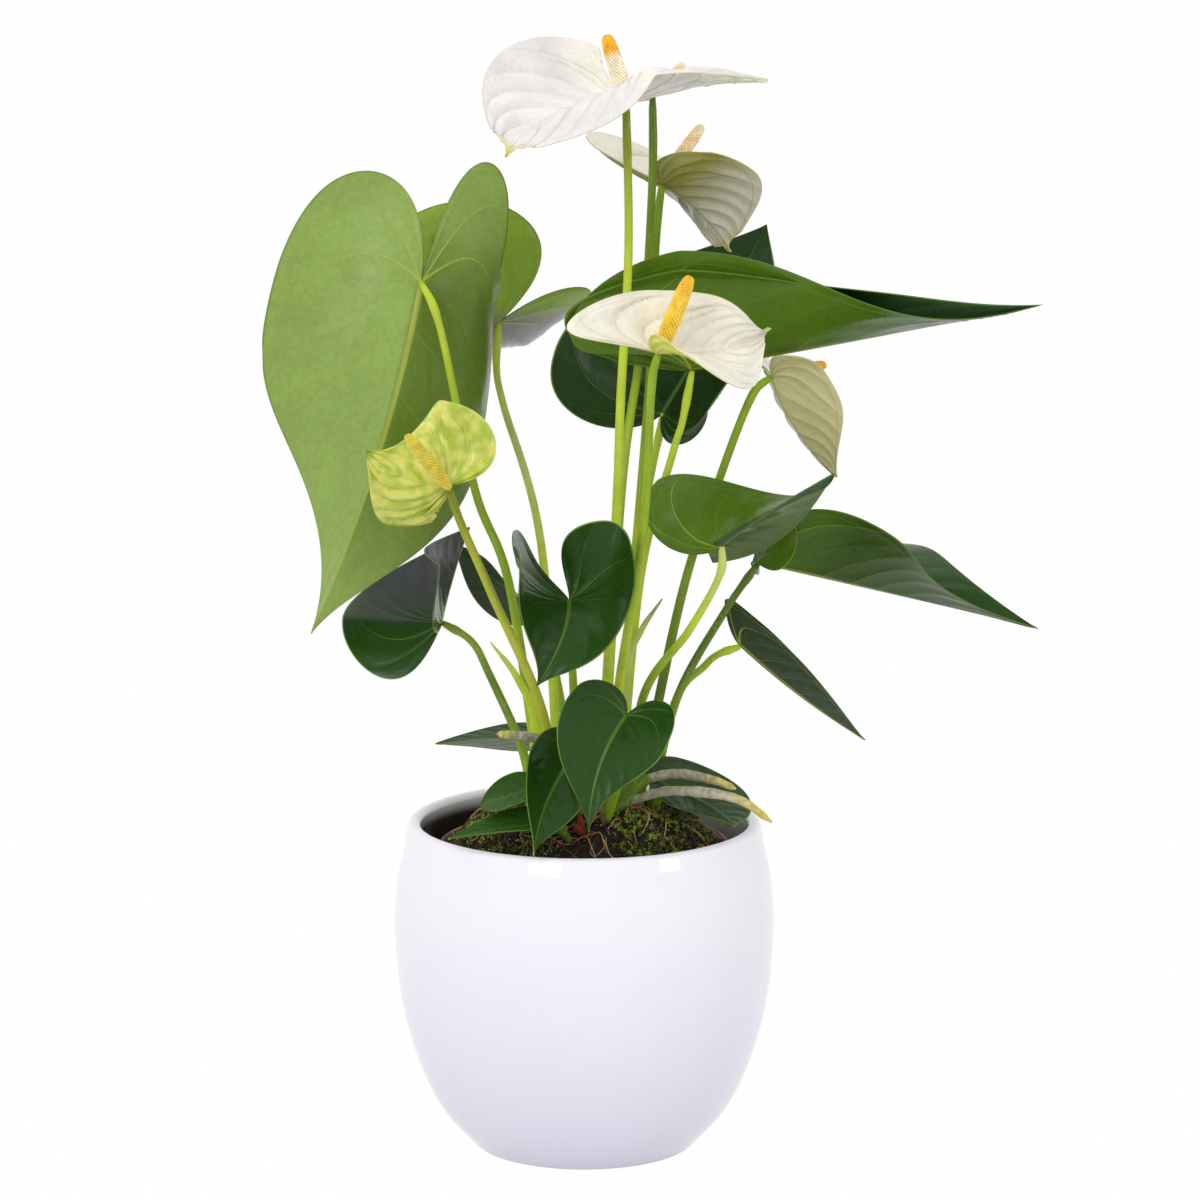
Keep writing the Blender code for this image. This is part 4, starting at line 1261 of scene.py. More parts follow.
def stalk_finish():
    """Stalk skin: its own tint, with fine lengthwise lines and small pale dots."""
    tree = ShaderTree("stalk_skin")
    u, v, _ = tree.uv()
    lines = tree.noise(1.0, 2.0, tree.joined(tree.times(u, 40.0), tree.times(v, 6.0), 0.0))
    colour = mottled(tree, tree.attribute("tint"), 0.88, 1.12, 90.0)
    colour = tree.mix(tree.ramp(lines, 0.45, 0.75, 0.0, 0.25), colour, (0.62, 0.66, 0.30))
    dots = tree.times(specks(tree, 900.0, 0.35, 0.5), 0.3)
    colour = tree.mix(dots, colour, (0.7, 0.72, 0.45))
    tree.bump(lines, 0.0003, 0.35)
    return tree.finish(colour, tree.patchy(120.0, 0.32, 0.48), Specular_IOR_Level=0.16)


def spadix_finish():
    """Florets: their own tint, softly mottled, with a fine grain."""
    tree = ShaderTree("spadix_florets")
    colour = mottled(tree, tree.attribute("tint"), 0.85, 1.15, 260.0)
    tree.bump(tree.noise(2600.0, 2.0), 0.0001, 0.4)
    return tree.finish(colour, tree.patchy(400.0, 0.42, 0.62))


def root_finish():
    """Aerial root skin: scaly and matt, with faint greenish rings along it."""
    tree = ShaderTree("aerial_root_skin")
    _, v, _ = tree.uv()
    rings = tree.noise(1.0, 2.0, tree.joined(tree.times(v, 15.0), 0.0, 0.0))
    colour = mottled(tree, tree.attribute("tint"), 0.62, 1.22, 420.0)
    colour = tree.mix(tree.ramp(rings, 0.56, 0.70, 0.0, 0.40), colour, linear(0.45, 0.50, 0.28))
    tree.bump(tree.total(tree.noise(1100.0, 4.0), tree.times(rings, 0.3)), 0.0008, 0.9)
    return tree.finish(colour, tree.patchy(300.0, 0.6, 0.85))


def glaze_finish(colour, shaded_low_colour):
    """White glaze: smooth, with pinholes, and with painted shade lower down and on the inner wall near its
    mouth.
    """
    tree = ShaderTree("white_glaze")
    x, y, height = tree.split(tree.place())
    # Painted shade: the glaze turns to the darker, more lilac low colour towards the foot, where less light
    # falls.
    shade = tree.mix(tree.ramp(height, 0.0, POT_HEIGHT, 1.0, 0.0), colour, shaded_low_colour)
    shade = mottled(tree, shade, 0.985, 1.01, 12.0)
    pinholes = specks(tree, 260.0, 0.09, 0.25)
    shade = tree.mix(tree.times(pinholes, 0.2), shade, linear(0.72, 0.70, 0.70))
    # Painted shade: the inner wall near the mouth is darkened below the line, where shade falls inside the
    # pot.
    damp = tree.times(pot_inside(tree, x, y, height), tree.ramp(height, *INNER_SHADE_LINE, 1.0, 0.0))
    inner_shade_colour = mottled(tree, linear(0.24, 0.21, 0.20), 0.8, 1.2, 60.0)
    shade = tree.mix(damp, shade, inner_shade_colour)
    tree.bump(tree.total(tree.noise(35.0, 2.0), tree.times(pinholes, -0.12)), 0.0004, 0.05)
    return tree.finish(shade, tree.patchy(60.0, 0.02, 0.04), Specular_IOR_Level=0.6)


def pot_inside(tree, x, y, height):
    """Share of painted shade: 1 on the inner wall near the cache-pot's mouth, less towards its right, 0 on
    its outside.
    """
    reach = tree.math("SQRT", tree.total(tree.times(x, x), tree.times(y, y)))
    inner = tree.math("LESS_THAN", reach, POT_SIDE[-1][0] - POT_WALL * 0.6)
    inner = tree.times(inner, tree.math("GREATER_THAN", height, POT_HEIGHT * 0.7))
    return tree.times(inner, tree.ramp(x, 0.01, 0.06, 1.0, 0.25))


def plastic_finish(colour):
    """The grow pot's brown plastic, dusty with peat."""
    tree = ShaderTree("grow_pot_plastic")
    shade = tree.mix(tree.patchy(50.0, 0.0, 1.0), colour, linear(0.50, 0.30, 0.22))
    dust = tree.ramp(tree.noise(180.0, 4.0), 0.50, 0.70, 0.0, 0.5)
    shade = tree.mix(dust, shade, linear(0.22, 0.15, 0.11))
    tree.bump(tree.noise(700.0), 0.0002, 0.4)
    return tree.finish(shade, tree.patchy(90.0, 0.45, 0.65))


def peat_finish(colour):
    """Damp peat, darkened further as painted shade: dark grains, browner patches and pale crumbs."""
    tree = ShaderTree("dark_peat")
    grains = tree.cells(900.0)
    shade = tree.mix(tree.ramp(grains, 0.2, 0.8), colour, linear(0.15, 0.10, 0.07))
    brown = tree.ramp(tree.noise(80.0), 0.58, 0.72, 0.0, 0.5)
    shade = tree.mix(brown, shade, linear(0.27, 0.19, 0.11))
    shade = tree.mix(specks(tree, 1100.0, 0.25, 0.2), shade, linear(0.50, 0.40, 0.28))
    tree.bump(tree.total(grains, tree.noise(1500.0, 4.0)), 0.0009, 0.9)
    return tree.finish(shade, 0.92)


def moss_finish(colour, bright):
    """Moss leaflets: dull and fresh greens, partly painted shade and highlight, with yellowed patches."""
    tree = ShaderTree("moss_leaflets")
    shade = tree.mix(tree.ramp(tree.noise(420.0), 0.47, 0.63), colour, bright)
    yellowed = tree.ramp(tree.noise(90.0, 2.0), 0.52, 0.68, 0.0, 0.5)
    shade = tree.mix(yellowed, shade, linear(0.42, 0.36, 0.12))
    tree.bump(tree.noise(3000.0, 2.0), 0.0002, 0.5)
    return tree.finish(shade, tree.patchy(500.0, 0.6, 0.8))


def litter_finish():
    """A plain matt skin in each piece's own tint, for fibres, crumbs and bracts."""
    tree = ShaderTree("soil_scrap_skin")
    colour = mottled(tree, tree.attribute("tint"), 0.75, 1.25, 500.0)
    tree.bump(tree.noise(1500.0), 0.0003, 0.6)
    return tree.finish(colour, tree.patchy(500.0, 0.75, 0.85))


def kept_finish(name, make):
    """The finish made once and shared by every piece that has it."""
    return bpy.data.materials.get(name) or make()


# --- Piece builders ------------------------------------------------------------------------------


def tint_points(piece, colours):
    add_vector_attribute(piece.data, "tint", colours)


def palette(name):
    """A colour of the sidebar's palettes by its name."""
    scene = bpy.context.scene
    for group in (scene.anthurium_leaves, scene.anthurium_flowers, scene.anthurium_soil):
        if hasattr(group, name):
            return np.array(getattr(group, name))
    raise ValueError(f"no colour is named {name}")


def mixed(first, second, share):
    """Rows of colour from the first named one to the second, by a share for each row."""
    share = np.asarray(share)[:, None]
    return palette(first) * (1 - share) + palette(second) * share


def in_stops(stops, along):
    """Rows of colour read along (place, name) stops."""
    places = [place for place, _ in stops]
    return read_along(along, places, np.array([palette(name) for _, name in stops]))


def blended(look, along, points):
    """A look as one colour for each place: plain, in stops along the blade, by height, or blotched."""
    if isinstance(look, str):
        return np.tile(palette(look), (len(along), 1))
    if isinstance(look, tuple):
        return in_stops(look, along)
    if "heights" in look:
        return mixed(look["low"], look["high"], smooth_step(*look["heights"], np.array(points)[:, 2]))
    level = [noise.fractal(Vector(point) * look["scale"], 1.0, 2.0, 3) for point in points]
    return mixed(look["ground"], look["blotch"], smooth_step(-0.35, 0.40, np.array(level)))


def blade_tints(piece, looks):
    """Tints for a blade: its upper side's two halves, then its underside's two halves."""
    mesh = piece.data
    count = len(mesh.vertices)
    along = values_of(mesh.attributes["place"].data, "vector", 3)[:, 0].astype(float)
    points = values_of(mesh.vertices, "co", 3).tolist()
    corners = values_of(mesh.loops, "vertex_index", 1, np.int32)[:, 0]
    u = np.full(count, 0.5)
    u[corners] = values_of(mesh.uv_layers[0].data, "uv", 2)[:, 0]
    left = smooth_step(0.49, 0.51, u)[:, None]
    if len(looks) == 2:
        looks = (looks[0], *looks)
    if len(looks) == 3:
        looks = (*looks, looks[2])
    top_left, top_right, back_left, back_right = (blended(look, along, points) for look in looks)
    on_top = top_left * left + top_right * (1 - left)
    below = back_left * left + back_right * (1 - left)
    upper = np.arange(count) < count // 2
    tint_points(piece, np.where(upper[:, None], on_top, below))


def tint_rod(rod, rings):
    """One colour for each ring of a rod, from its foot to its end, and for the points that close it."""
    tint_points(rod, np.concatenate([np.repeat(rings, TUBE_SIDES, axis=0), rings[:1], rings[-1:]]))


def ring_colours(looks, count):
    """Colours up a rod from named ones, spread evenly from its foot to its end or at stops."""
    if isinstance(looks[0], str):
        looks = tuple(zip(np.linspace(0, 1, len(looks)), looks))
    return in_stops(looks, np.linspace(0, 1, count))


def make_stalk(name, blade, radii, swollen, looks, material):
    """A stalk from just under the soil to the blade's junction, with its colours up its length."""
    path = stalk_path(blade)
    piece = make_tube(name, path, stalk_radii(radii, swollen), material, grooves=STALK_GROOVES)
    tint_rod(piece, ring_colours(looks, STALK_RINGS))
    return piece


def floret_tree(material):
    """A geometry tree that studs a club with florets along a golden-angle spiral."""
    defaults = {
        "Floret Count": 300,
        "Club Length": 0.04,
        "Club Radius": 0.0034,
        "Floret Size": 0.0008,
        "Seed": 4,
    }
    growth = GrowthTree("florets", defaults)
    given = growth.given
    index = growth.add("GeometryNodeInputIndex")[0]
    share = growth.math("DIVIDE", growth.math("ADD", index, 0.5), given["Floret Count"])
    angle = growth.times(index, GOLDEN_ANGLE)
    across, aside = growth.math("COSINE", angle), growth.math("SINE", angle)
    radius = growth.times(growth.outline(CLUB_OUTLINE, share), given["Club Radius"])
    up = growth.times(share, given["Club Length"])
    place = growth.joined(growth.times(radius, across), growth.times(radius, aside), up)
    points = growth.add("GeometryNodePoints", {"Count": given["Floret Count"], "Position": place})[0]
    floret = growth.add("GeometryNodeMeshUVSphere", {"Segments": 6, "Rings": 5, "Radius": 1.0})["Mesh"]
    # Florets point outwards, and upwards near the club's end.
    outward = growth.joined(across, aside, growth.times(growth.math("POWER", share, 8.0), 2.0))
    turn = growth.add("FunctionNodeAlignRotationToVector", {"Vector": outward})[0]
    size = growth.times(growth.chance(0.85, 1.12), given["Floret Size"])
    flat = growth.joined(size, size, growth.times(size, 0.85))
    return growth.grow(points, floret, turn, flat, material)


def grown_mesh(tree, name, ground=None, **inputs):
    """The plain mesh that a geometry tree makes with these inputs, on the ground mesh if given."""
    carrier = placed(name, ground or bpy.data.meshes.new(name))
    modifier = carrier.modifiers.new("Growth", "NODES")
    modifier.node_group = tree
    for item in tree.interface.items_tree:
        label = item.name.replace(" ", "_").lower()
        if item.in_out == "INPUT" and label in inputs:
            modifier[item.identifier] = inputs[label]
    graph = bpy.context.evaluated_depsgraph_get()
    mesh = bpy.data.meshes.new_from_object(carrier.evaluated_get(graph))
    bpy.data.objects.remove(carrier)
    mesh.shade_smooth()
    return mesh


def make_spadix(name, flower, looks, material):
    """A tapering club studded with florets, standing on the spathe's junction."""
    _, rotation = blade_placing(flower)
    radius = flower.get("spadix_radius", SPADIX_RADIUS)
    left_fold, right_fold = flower["fold"]
    lean = math.radians(left_fold - right_fold) / 2
    between = rotation[2] * math.cos(lean) - rotation[1] * math.sin(lean)
    base = np.array(flower["junction"]) + between * SPADIX_LIFT
    axis = np.array(flower["spadix"]) - base
    length = float(np.linalg.norm(axis))
    rings = np.linspace(0, 1, CLUB_RINGS)
    club_radii = (radius - FLORET_STANDING) * np.interp(rings, *np.array(CLUB_OUTLINE).T)
    club = make_tube(name, base + axis * rings[:, None], club_radii, material)
    size = bpy.context.scene.anthurium_flowers.floret_size
    mesh = grown_mesh(
        floret_tree(material),
        name + "_florets",
        floret_count=int(2 * math.pi * radius * length / size**2 / FLORET_PACKING),
        club_length=length - CLUB_END_GAP,
        club_radius=radius - FLORET_STANDING,
        floret_size=size,
    )
    turn = Vector((0, 0, 1)).rotation_difference(Vector(axis)).to_matrix().to_4x4()
    turn.translation = Vector(base)
    mesh.transform(turn)
    piece = joined_pieces(name, club, placed(name + "_studs", mesh))
    points = inside_cad_box(values_of(piece.data.vertices, "co", 3))
    piece.data.vertices.foreach_set("co", points.astype(np.float32).ravel())
    along = np.clip((points - base) @ axis / length**2, 0, 1)
    tints = in_stops([(place, f"spadix_{look}") for place, look in zip(SPADIX_BANDS, looks)], along)
    tints[: CLUB_RINGS * TUBE_SIDES + 2] *= CLUB_SHADE
    tint_points(piece, tints)
    return piece


def make_cache_pot(material):
    """The glazed pot: its real profile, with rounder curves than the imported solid's."""
    side = smooth_path([(radius, 0.0, height) for radius, height in POT_SIDE], POT_RINGS)
    outside = [(radius, height) for radius, _, height in side]
    inner = [(radius - POT_WALL, height) for radius, height in outside if height > POT_FLOOR + POT_WALL]
    inner_radius, inner_foot = inner[0]
    centre = POT_SIDE[-1][0] - POT_WALL / 2 - POT_LIP_INSET
    lip = []
    for angle in np.radians(np.linspace(180, POT_LIP_END, 15)):
        height = POT_HEIGHT - POT_LIP_RADIUS * (1 - math.sin(angle))
        lip.append((centre + POT_LIP_RADIUS * math.cos(angle), height))
    cove = []
    for angle in np.linspace(*POT_COVE, 5):
        height = POT_FLOOR + (inner_foot - POT_FLOOR) * (1 - math.cos(angle))
        cove.append((inner_radius - POT_FLOOR_INSET * (1 - math.sin(angle)), height))
    floor = [(0.0, POT_FLOOR), (inner_radius - POT_FLOOR_INSET, POT_FLOOR)]
    foot = [(POT_BASE_RADIUS + POT_FOOT_EASE, POT_FOOT_RISE), (POT_BASE_RADIUS, 0.0), (0.0, 0.0)]
    profile = [*floor, *cove, *inner, *lip, *reversed(outside), *foot]
    return turned("cache_pot_glazed", profile, POT_STEPS, material)


def make_grow_pot(material):
    """The thin tapering pot, with a small rolled rim."""
    slope = GROW_POT_SLOPE
    wall = GROW_POT_WALL
    floor = GROW_POT_FOOT + wall
    rim = GROW_POT_RIM_RADIUS
    profile = [
        (0.0, floor),
        (GROW_POT_BASE_RADIUS + slope * wall - wall, floor),
        (rim - wall - slope * 0.006, GROW_POT_TOP - 0.006),
        (rim - wall, GROW_POT_TOP - 0.0003),
        (rim - wall * 0.5, GROW_POT_TOP),
        (rim + wall * 0.6, GROW_POT_TOP - 0.0004),
        (rim + wall * 0.6, GROW_POT_TOP - 0.0045),
        (rim - slope * 0.005, GROW_POT_TOP - 0.0052),
        (GROW_POT_BASE_RADIUS, GROW_POT_FOOT),
        (0.0, GROW_POT_FOOT),
    ]
    return turned("grow_pot_moulded", profile, GROW_POT_STEPS, material)


def soil_height(x, y):
    """The height of the uneven soil, which is mounded up and falls away at the grow pot's wall."""
    height = SOIL_TOP + SOIL_RISE
    for mound_x, mound_y, radius, rise in MOUNDS:
        distance = math.hypot(x - mound_x, y - mound_y) / radius
        height += rise * math.exp(-(distance**2))
    lumps = noise.fractal(Vector((x, y, 0.0)) * 55 + Vector((3.1, 0.4, SOIL_SEED)), 1.0, 2.0, 4)
    grit = noise.fractal(Vector((x, y, 0.3)) * 320, 0.8, 2.1, 3)
    height += SOIL_LUMPS * lumps + SOIL_GRIT * grit
    held = float(smooth_step(SOIL_FLAT_RADIUS, GROW_POT_RIM_RADIUS - GROW_POT_WALL, math.hypot(x, y)))
    return height * (1 - held) + (SOIL_EDGE + SOIL_EDGE_RISE + SOIL_EDGE_GRIT * grit) * held


def moss_cover(x, y):
    """How much moss grows at a place on the soil, from 0 to 1."""
    cover = 0.0
    for patch_x, patch_y, radius, share in MOSS_PATCHES:
        distance = math.hypot(x - patch_x, y - patch_y) / radius
        cover = max(cover, share * (1 - float(smooth_step(0.55, 1.1, distance))))
    breaks = noise.fractal(Vector((x, y, 1.7)) * 150, 1.0, 2.0, 3)
    return min(1.0, max(0.0, cover * (0.75 + 2.6 * breaks)))


def soil_reach():
    """The radius of the soil's edge, just inside the grow pot's sloping wall."""
    rim = GROW_POT_RIM_RADIUS - GROW_POT_WALL - SOIL_MARGIN
    return rim - GROW_POT_SLOPE * (GROW_POT_TOP - SOIL_EDGE)


def soil_surface(steps, rings):
    """Points over the uneven soil: its middle, then ring by ring out to its edge."""
    points = [(0.0, 0.0, soil_height(0.0, 0.0))]
    for radius in np.linspace(0, soil_reach(), rings + 1)[1:]:
        for angle in np.linspace(0, 2 * math.pi, steps, endpoint=False):
            x, y = radius * math.cos(angle), radius * math.sin(angle)
            points.append((x, y, soil_height(x, y)))
    return points


def ringed_faces(steps, rings):
    """Faces from a middle point to the first ring round it, and from each ring to the next."""
    faces = []
    for k in range(steps):
        after = (k + 1) % steps
        faces.append([0, 1 + k, 1 + after])
        for ring in range(rings - 1):
            inner, outer = 1 + ring * steps, 1 + (ring + 1) * steps
            faces.append([inner + k, outer + k, outer + after, inner + after])
    return faces


def make_soil(material):
    """The lump of peat that fills the grow pot, with its crumbly top."""
    points = soil_surface(SOIL_STEPS, SOIL_RINGS)
    faces = ringed_faces(SOIL_STEPS, SOIL_RINGS + 1)
    last = len(points)
    radius = GROW_POT_BASE_RADIUS - GROW_POT_WALL - SOIL_MARGIN
    foot = GROW_POT_FOOT + GROW_POT_WALL + SEAT_GAP
    for angle in np.linspace(0, 2 * math.pi, SOIL_STEPS, endpoint=False):
        points.append((radius * math.cos(angle), radius * math.sin(angle), foot))
    points.append((0.0, 0.0, foot))
    for k in range(SOIL_STEPS):
        faces.append([last + (k + 1) % SOIL_STEPS, last + k, len(points) - 1])
    return new_mesh_object("soil_bed", inside_cad_box(np.array(points)), faces, [material])


def moss_tree(material):
    """A geometry tree that grows pointed leaflets where the ground's moss cover says so."""
    defaults = {
        "Leaflets Per Area": 3.6e6,
        "Leaflet Length": 0.0012,
        "Leaflet Width": 0.00036,
        "Seed": 3,
    }
    growth = GrowthTree("moss", defaults, on_ground=True)
    given = growth.given
    cover = growth.add("GeometryNodeInputNamedAttribute", {"Name": "moss"}, data_type="FLOAT")
    density = growth.times(cover["Attribute"], given["Leaflets Per Area"])
    scattered = {"Mesh": given["Geometry"], "Density": density, "Seed": given["Seed"]}
    scatter = growth.add("GeometryNodeDistributePointsOnFaces", scattered)
    cone = {"Vertices": 4, "Radius Top": 0.0, "Radius Bottom": 1.0, "Depth": 2.0}
    leaflet = growth.add("GeometryNodeMeshCone", cone)["Mesh"]
    lean = growth.chance((-0.9, -0.9, 0.0), (0.9, 0.9, 2 * math.pi))
    leant = {"Rotation": scatter["Rotation"], "Rotate By": lean}
    turn = growth.add("FunctionNodeRotateRotation", leant, rotation_space="LOCAL")[0]
    grown = growth.chance(0.5, 1.3)
    width = growth.times(grown, given["Leaflet Width"])
    size = growth.joined(width, width, growth.times(grown, given["Leaflet Length"]))
    return growth.grow(scatter["Points"], leaflet, turn, size, material)


def make_moss(material):
    """Moss on the soil: leaflets scattered over a copy of its top that carries the cover."""
    points = soil_surface(MOSS_STEPS, MOSS_RINGS)
    ground = bpy.data.meshes.new("moss_ground")
    ground.from_pydata(points, [], ringed_faces(MOSS_STEPS, MOSS_RINGS))
    layer = ground.attributes.new("moss", "FLOAT", "POINT")
    layer.data.foreach_set("value", [moss_cover(x, y) for x, y, _ in points])
    return placed("soil_moss", grown_mesh(moss_tree(material), "soil_moss", ground))


def fibre_way(chance, straw, x, y):
    """A fibre's points over the soil, in a loose curve from (x, y). Straws run straighter."""
    heading = chance.uniform(0, 2 * math.pi)
    turning = chance.normal(0, 0.25)
    step = chance.uniform(0.0007, 0.0015)
    lift = chance.uniform(0.0004, 0.0026)
    way = []
    for k in range(FIBRE_POINTS):
        arch = lift * math.sin(math.pi * k / (FIBRE_POINTS - 1))
        way.append((x, y, soil_height(x, y) + SEAT_GAP + arch))
        x, y = x + step * math.cos(heading), y + step * math.sin(heading)
        if math.hypot(x, y) > LITTER_REACH:
            heading += math.pi * 0.6
        heading += turning * (0.2 if straw else 1.0) + chance.normal(0, 0.05 if straw else 0.30)
    way = np.array(way)
    way[1:-1, 2] = (way[:-2, 2] + way[1:-1, 2] * 2 + way[2:, 2]) / 4
    return way


def spot(chance, reach, nearest):
    """A random place on the soil, spread evenly over a disc of this reach."""
    away = reach * math.sqrt(chance.uniform(nearest, 1.0))
    angle = chance.uniform(0, 2 * math.pi)
    return away * math.cos(angle), away * math.sin(angle)


def make_fibres(material):
    """Root fibres and straws that lie over the soil in loose curves."""
    chance = np.random.default_rng(SOIL_SEED)
    parts, colours = [], []
    tones = [palette(name) for name in ("fibre", "dark_fibre", "red_fibre", "fibre", "husk")]
    share = np.linspace(0, 1, FIBRE_POINTS)
    for i in range(FIBRE_COUNT):
        straw = i % STRAW_EVERY == 0
        path = fibre_way(chance, straw, *spot(chance, FIBRE_REACH, 0.02))
        thick = chance.uniform(0.00028, 0.00050) if straw else chance.uniform(0.00012, 0.00028)
        radii = thick * np.interp(share, (0, 0.1, 0.8, 1), (0.5, 1, 0.8, 0.3))
        flat = np.full(FIBRE_POINTS, 0.35 if straw else 1.0)
        parts.append(tube_parts(path, radii, flat, sides=6))
        colours.append(tones[i % len(tones)])
    return make_bundle("soil_fibres", parts, colours, material)


def make_scraps(material):
    """Crumbs of peat, bark and husk on the soil."""
    chance = np.random.default_rng(SOIL_SEED + 1)
    corners = np.array([(1, 0, 0), (0, 1, 0), (-1, 0, 0), (0, -1, 0), (0, 0, 1), (0, 0, -1)], float)
    faces = [[0, 1, 4], [1, 2, 4], [2, 3, 4], [3, 0, 4], [1, 0, 5], [2, 1, 5], [3, 2, 5], [0, 3, 5]]
    uv = [(0.0, 0.0), (1.0, 0.0), (0.5, 1.0)] * len(faces)
    names = ("peat", "dark_fibre", "peat", "red_fibre", "peat", "dark_fibre", "husk", "peat", "fibre")
    tones = [palette(name) for name in names]
    parts, colours = [], []
    for i in range(SCRAP_COUNT):
        x, y = spot(chance, LITTER_REACH, 0.0)
        size = chance.uniform(0.0004, 0.0013)
        turn, _ = np.linalg.qr(chance.normal(size=(3, 3)))
        shape = corners * chance.uniform(0.6, 1.3, (6, 1)) * (1.0, chance.uniform(0.4, 1.0), 0.45)
        turned_shape = shape @ (turn * np.sign(np.linalg.det(turn)))
        parts.append((turned_shape * size + (x, y, soil_height(x, y) + size * 0.4), faces, uv))
        colours.append(tones[i % len(tones)])
    return make_bundle("soil_scraps", parts, colours, material)


def make_bracts(material):
    """Dry papery bracts that stand round the crown."""
    parts, colours = [], []
    share = np.linspace(0, 1, BRACT_POINTS)
    for i, (x, y, lean_x, lean_y, length, width) in enumerate(BRACTS):
        start = np.array((x, y, soil_height(x, y) - BRACT_BURIED))
        path = start + share[:, None] * np.array((lean_x, lean_y, 1.0)) * length
        path[:, 0] += BRACT_WAVE * np.sin(share * 4 + i)
        radii = width * np.interp(share, (0, 0.3, 0.7, 1.0), (0.7, 1.0, 0.8, 0.15))
        parts.append(tube_parts(path, radii, np.full(BRACT_POINTS, 0.14), sides=14))
        colours.append(palette("husk" if i % 3 == 2 else "bract"))
    return make_bundle("crown_bracts", parts, colours, material)


# --- Settings ------------------------------------------------------------------------------------


def tone(name, description, red, green, blue):
    """A colour setting, given as it is displayed."""
    return bpy.props.FloatVectorProperty(
        name=name,
        description=description,
        default=linear(red, green, blue),
        subtype="COLOR",
        size=3,
        min=0.0,
        max=1.0,
    )


def measure(name, description, default):
    """A length setting in metres."""
    return bpy.props.FloatProperty(
        name=name, description=description, default=default, min=0.0, subtype="DISTANCE", unit="LENGTH"
    )


class LeafSettings(bpy.types.PropertyGroup):
    """Sizes and colours of the leaves and the stalks."""

    sheet: measure("Blade Sheet", "Thickness of a leaf blade", 0.0005)
    crease: measure("Vein Crease", "Depth of the crease along a vein", 0.00022)
    puff: measure("Puff", "How far the blade rises between its veins", 0.00025)
    puff_width: measure("Puff Width", "Distance from a vein to the height of a puff", 0.0050)
    deep_green: tone("Deep Green", "Upper side of a grown leaf", 0.15, 0.29, 0.08)
    fresh_green: tone("Fresh Green", "Upper side of a young leaf", 0.20, 0.36, 0.11)
    grey_green: tone("Grey Green", "Upper side of a dulled leaf", 0.27, 0.35, 0.24)
    dark_green: tone("Dark Green", "Upper side of an old leaf", 0.13, 0.25, 0.07)
    pale_underside: tone("Pale Underside", "Back of the lightest leaf", 0.555, 0.66, 0.33)
    green_underside: tone("Green Underside", "Back of a light leaf", 0.39, 0.49, 0.17)
    mid_underside: tone("Middle Underside", "Back of a grown leaf", 0.33, 0.46, 0.10)
    dark_underside: tone("Dark Underside", "Back of an old leaf", 0.20, 0.31, 0.04)
    sheen_green: tone("Sheen Green", "Upper side that catches the light", 0.28, 0.41, 0.24)
    # Painted sheen: purple-grey for light reflected off the drooping leaf's upper end.
    purple_sheen: tone("Purple Sheen", "Dulled end of the drooping leaf", 0.33, 0.33, 0.34)
    bright_underside: tone("Bright Underside", "Back of the rear leaf", 0.62, 0.75, 0.27)
    lilac_shade: tone("Lilac Shade", "Shaded lower part of the rear leaf", 0.57, 0.57, 0.57)
    dusky_green: tone("Dusky Green", "Both sides of the narrow leaf", 0.25, 0.31, 0.23)
    dull_underside: tone("Dull Underside", "Back of a greyish leaf", 0.34, 0.42, 0.22)
    vein: tone("Vein", "Veins on the upper side", 0.38, 0.52, 0.16)
    margin: tone("Margin", "Line along the leaf's edge", 0.58, 0.68, 0.27)
    underside_vein: tone("Underside Vein", "Veins on the back", 0.68, 0.72, 0.26)
    stalk_lime: tone("Lime Stalk", "Youngest part of a stalk", 0.76, 0.84, 0.22)
    stalk_green: tone("Green Stalk", "Middle of a stalk", 0.56, 0.68, 0.11)
    stalk_pale: tone("Pale Stalk", "Where a stalk catches the light", 0.76, 0.80, 0.46)
    stalk_yellow: tone("Yellow Stalk", "Stalk of the youngest flower", 0.70, 0.73, 0.20)
    stalk_olive: tone("Olive Stalk", "Top of the tallest flower stalk", 0.46, 0.49, 0.05)
    stalk_dark: tone("Dark Stalk", "Top of the rear flower stalk", 0.36, 0.48, 0.13)


class FlowerSettings(bpy.types.PropertyGroup):
    """Sizes and colours of the spathes and the spadices."""

    sheet: measure("Spathe Sheet", "Thickness of a spathe", 0.0005)
    crease: measure("Vein Ridge", "Depth of the ridge along a vein", 0.00035)
    puff: measure("Puff", "How far the spathe rises between its veins", 0.00150)
    puff_width: measure("Puff Width", "Distance from a vein to the height of a puff", 0.0030)
    floret_size: measure("Floret", "Half width of one floret", 0.00070)
    spathe_white: tone("White Spathe", "Face of the opened flower", 0.935, 0.915, 0.905)
    spathe_cream: tone("Cream Spathe", "Face of an ageing flower", 0.97, 0.955, 0.895)
    spathe_olive: tone("Olive Spathe", "Back of a spathe near its stalk", 0.66, 0.64, 0.34)
    spathe_lime: tone("Lime Spathe", "Face of the youngest flower", 0.85, 0.85, 0.40)
    spathe_green: tone("Green Spathe", "Green parts of the youngest flower", 0.69, 0.77, 0.22)
    spathe_lilac: tone("Lilac Spathe", "Back of an old spathe's end", 0.90, 0.87, 0.82)
    spathe_tan: tone("Tan Spathe", "Back of the hanging flower", 0.84, 0.81, 0.60)
    spathe_tail: tone("Spathe Tail", "Drawn-out tip of a spathe", 0.88, 0.82, 0.42)
    spathe_vein: tone("Spathe Vein", "Veins of a spathe", 0.62, 0.66, 0.30)
    spadix_cream: tone("Cream Spadix", "Florets near the spathe", 1.0, 0.96, 0.84)
    spadix_peach: tone("Peach Spadix", "Florets of the paler flowers", 1.0, 0.90, 0.72)
    spadix_yellow: tone("Yellow Spadix", "Florets that have opened", 1.0, 0.86, 0.28)
    spadix_gold: tone("Gold Spadix", "Florets of the youngest flower", 0.90, 0.83, 0.30)
    spadix_orange: tone("Orange Spadix", "Ripe florets", 1.0, 0.76, 0.16)


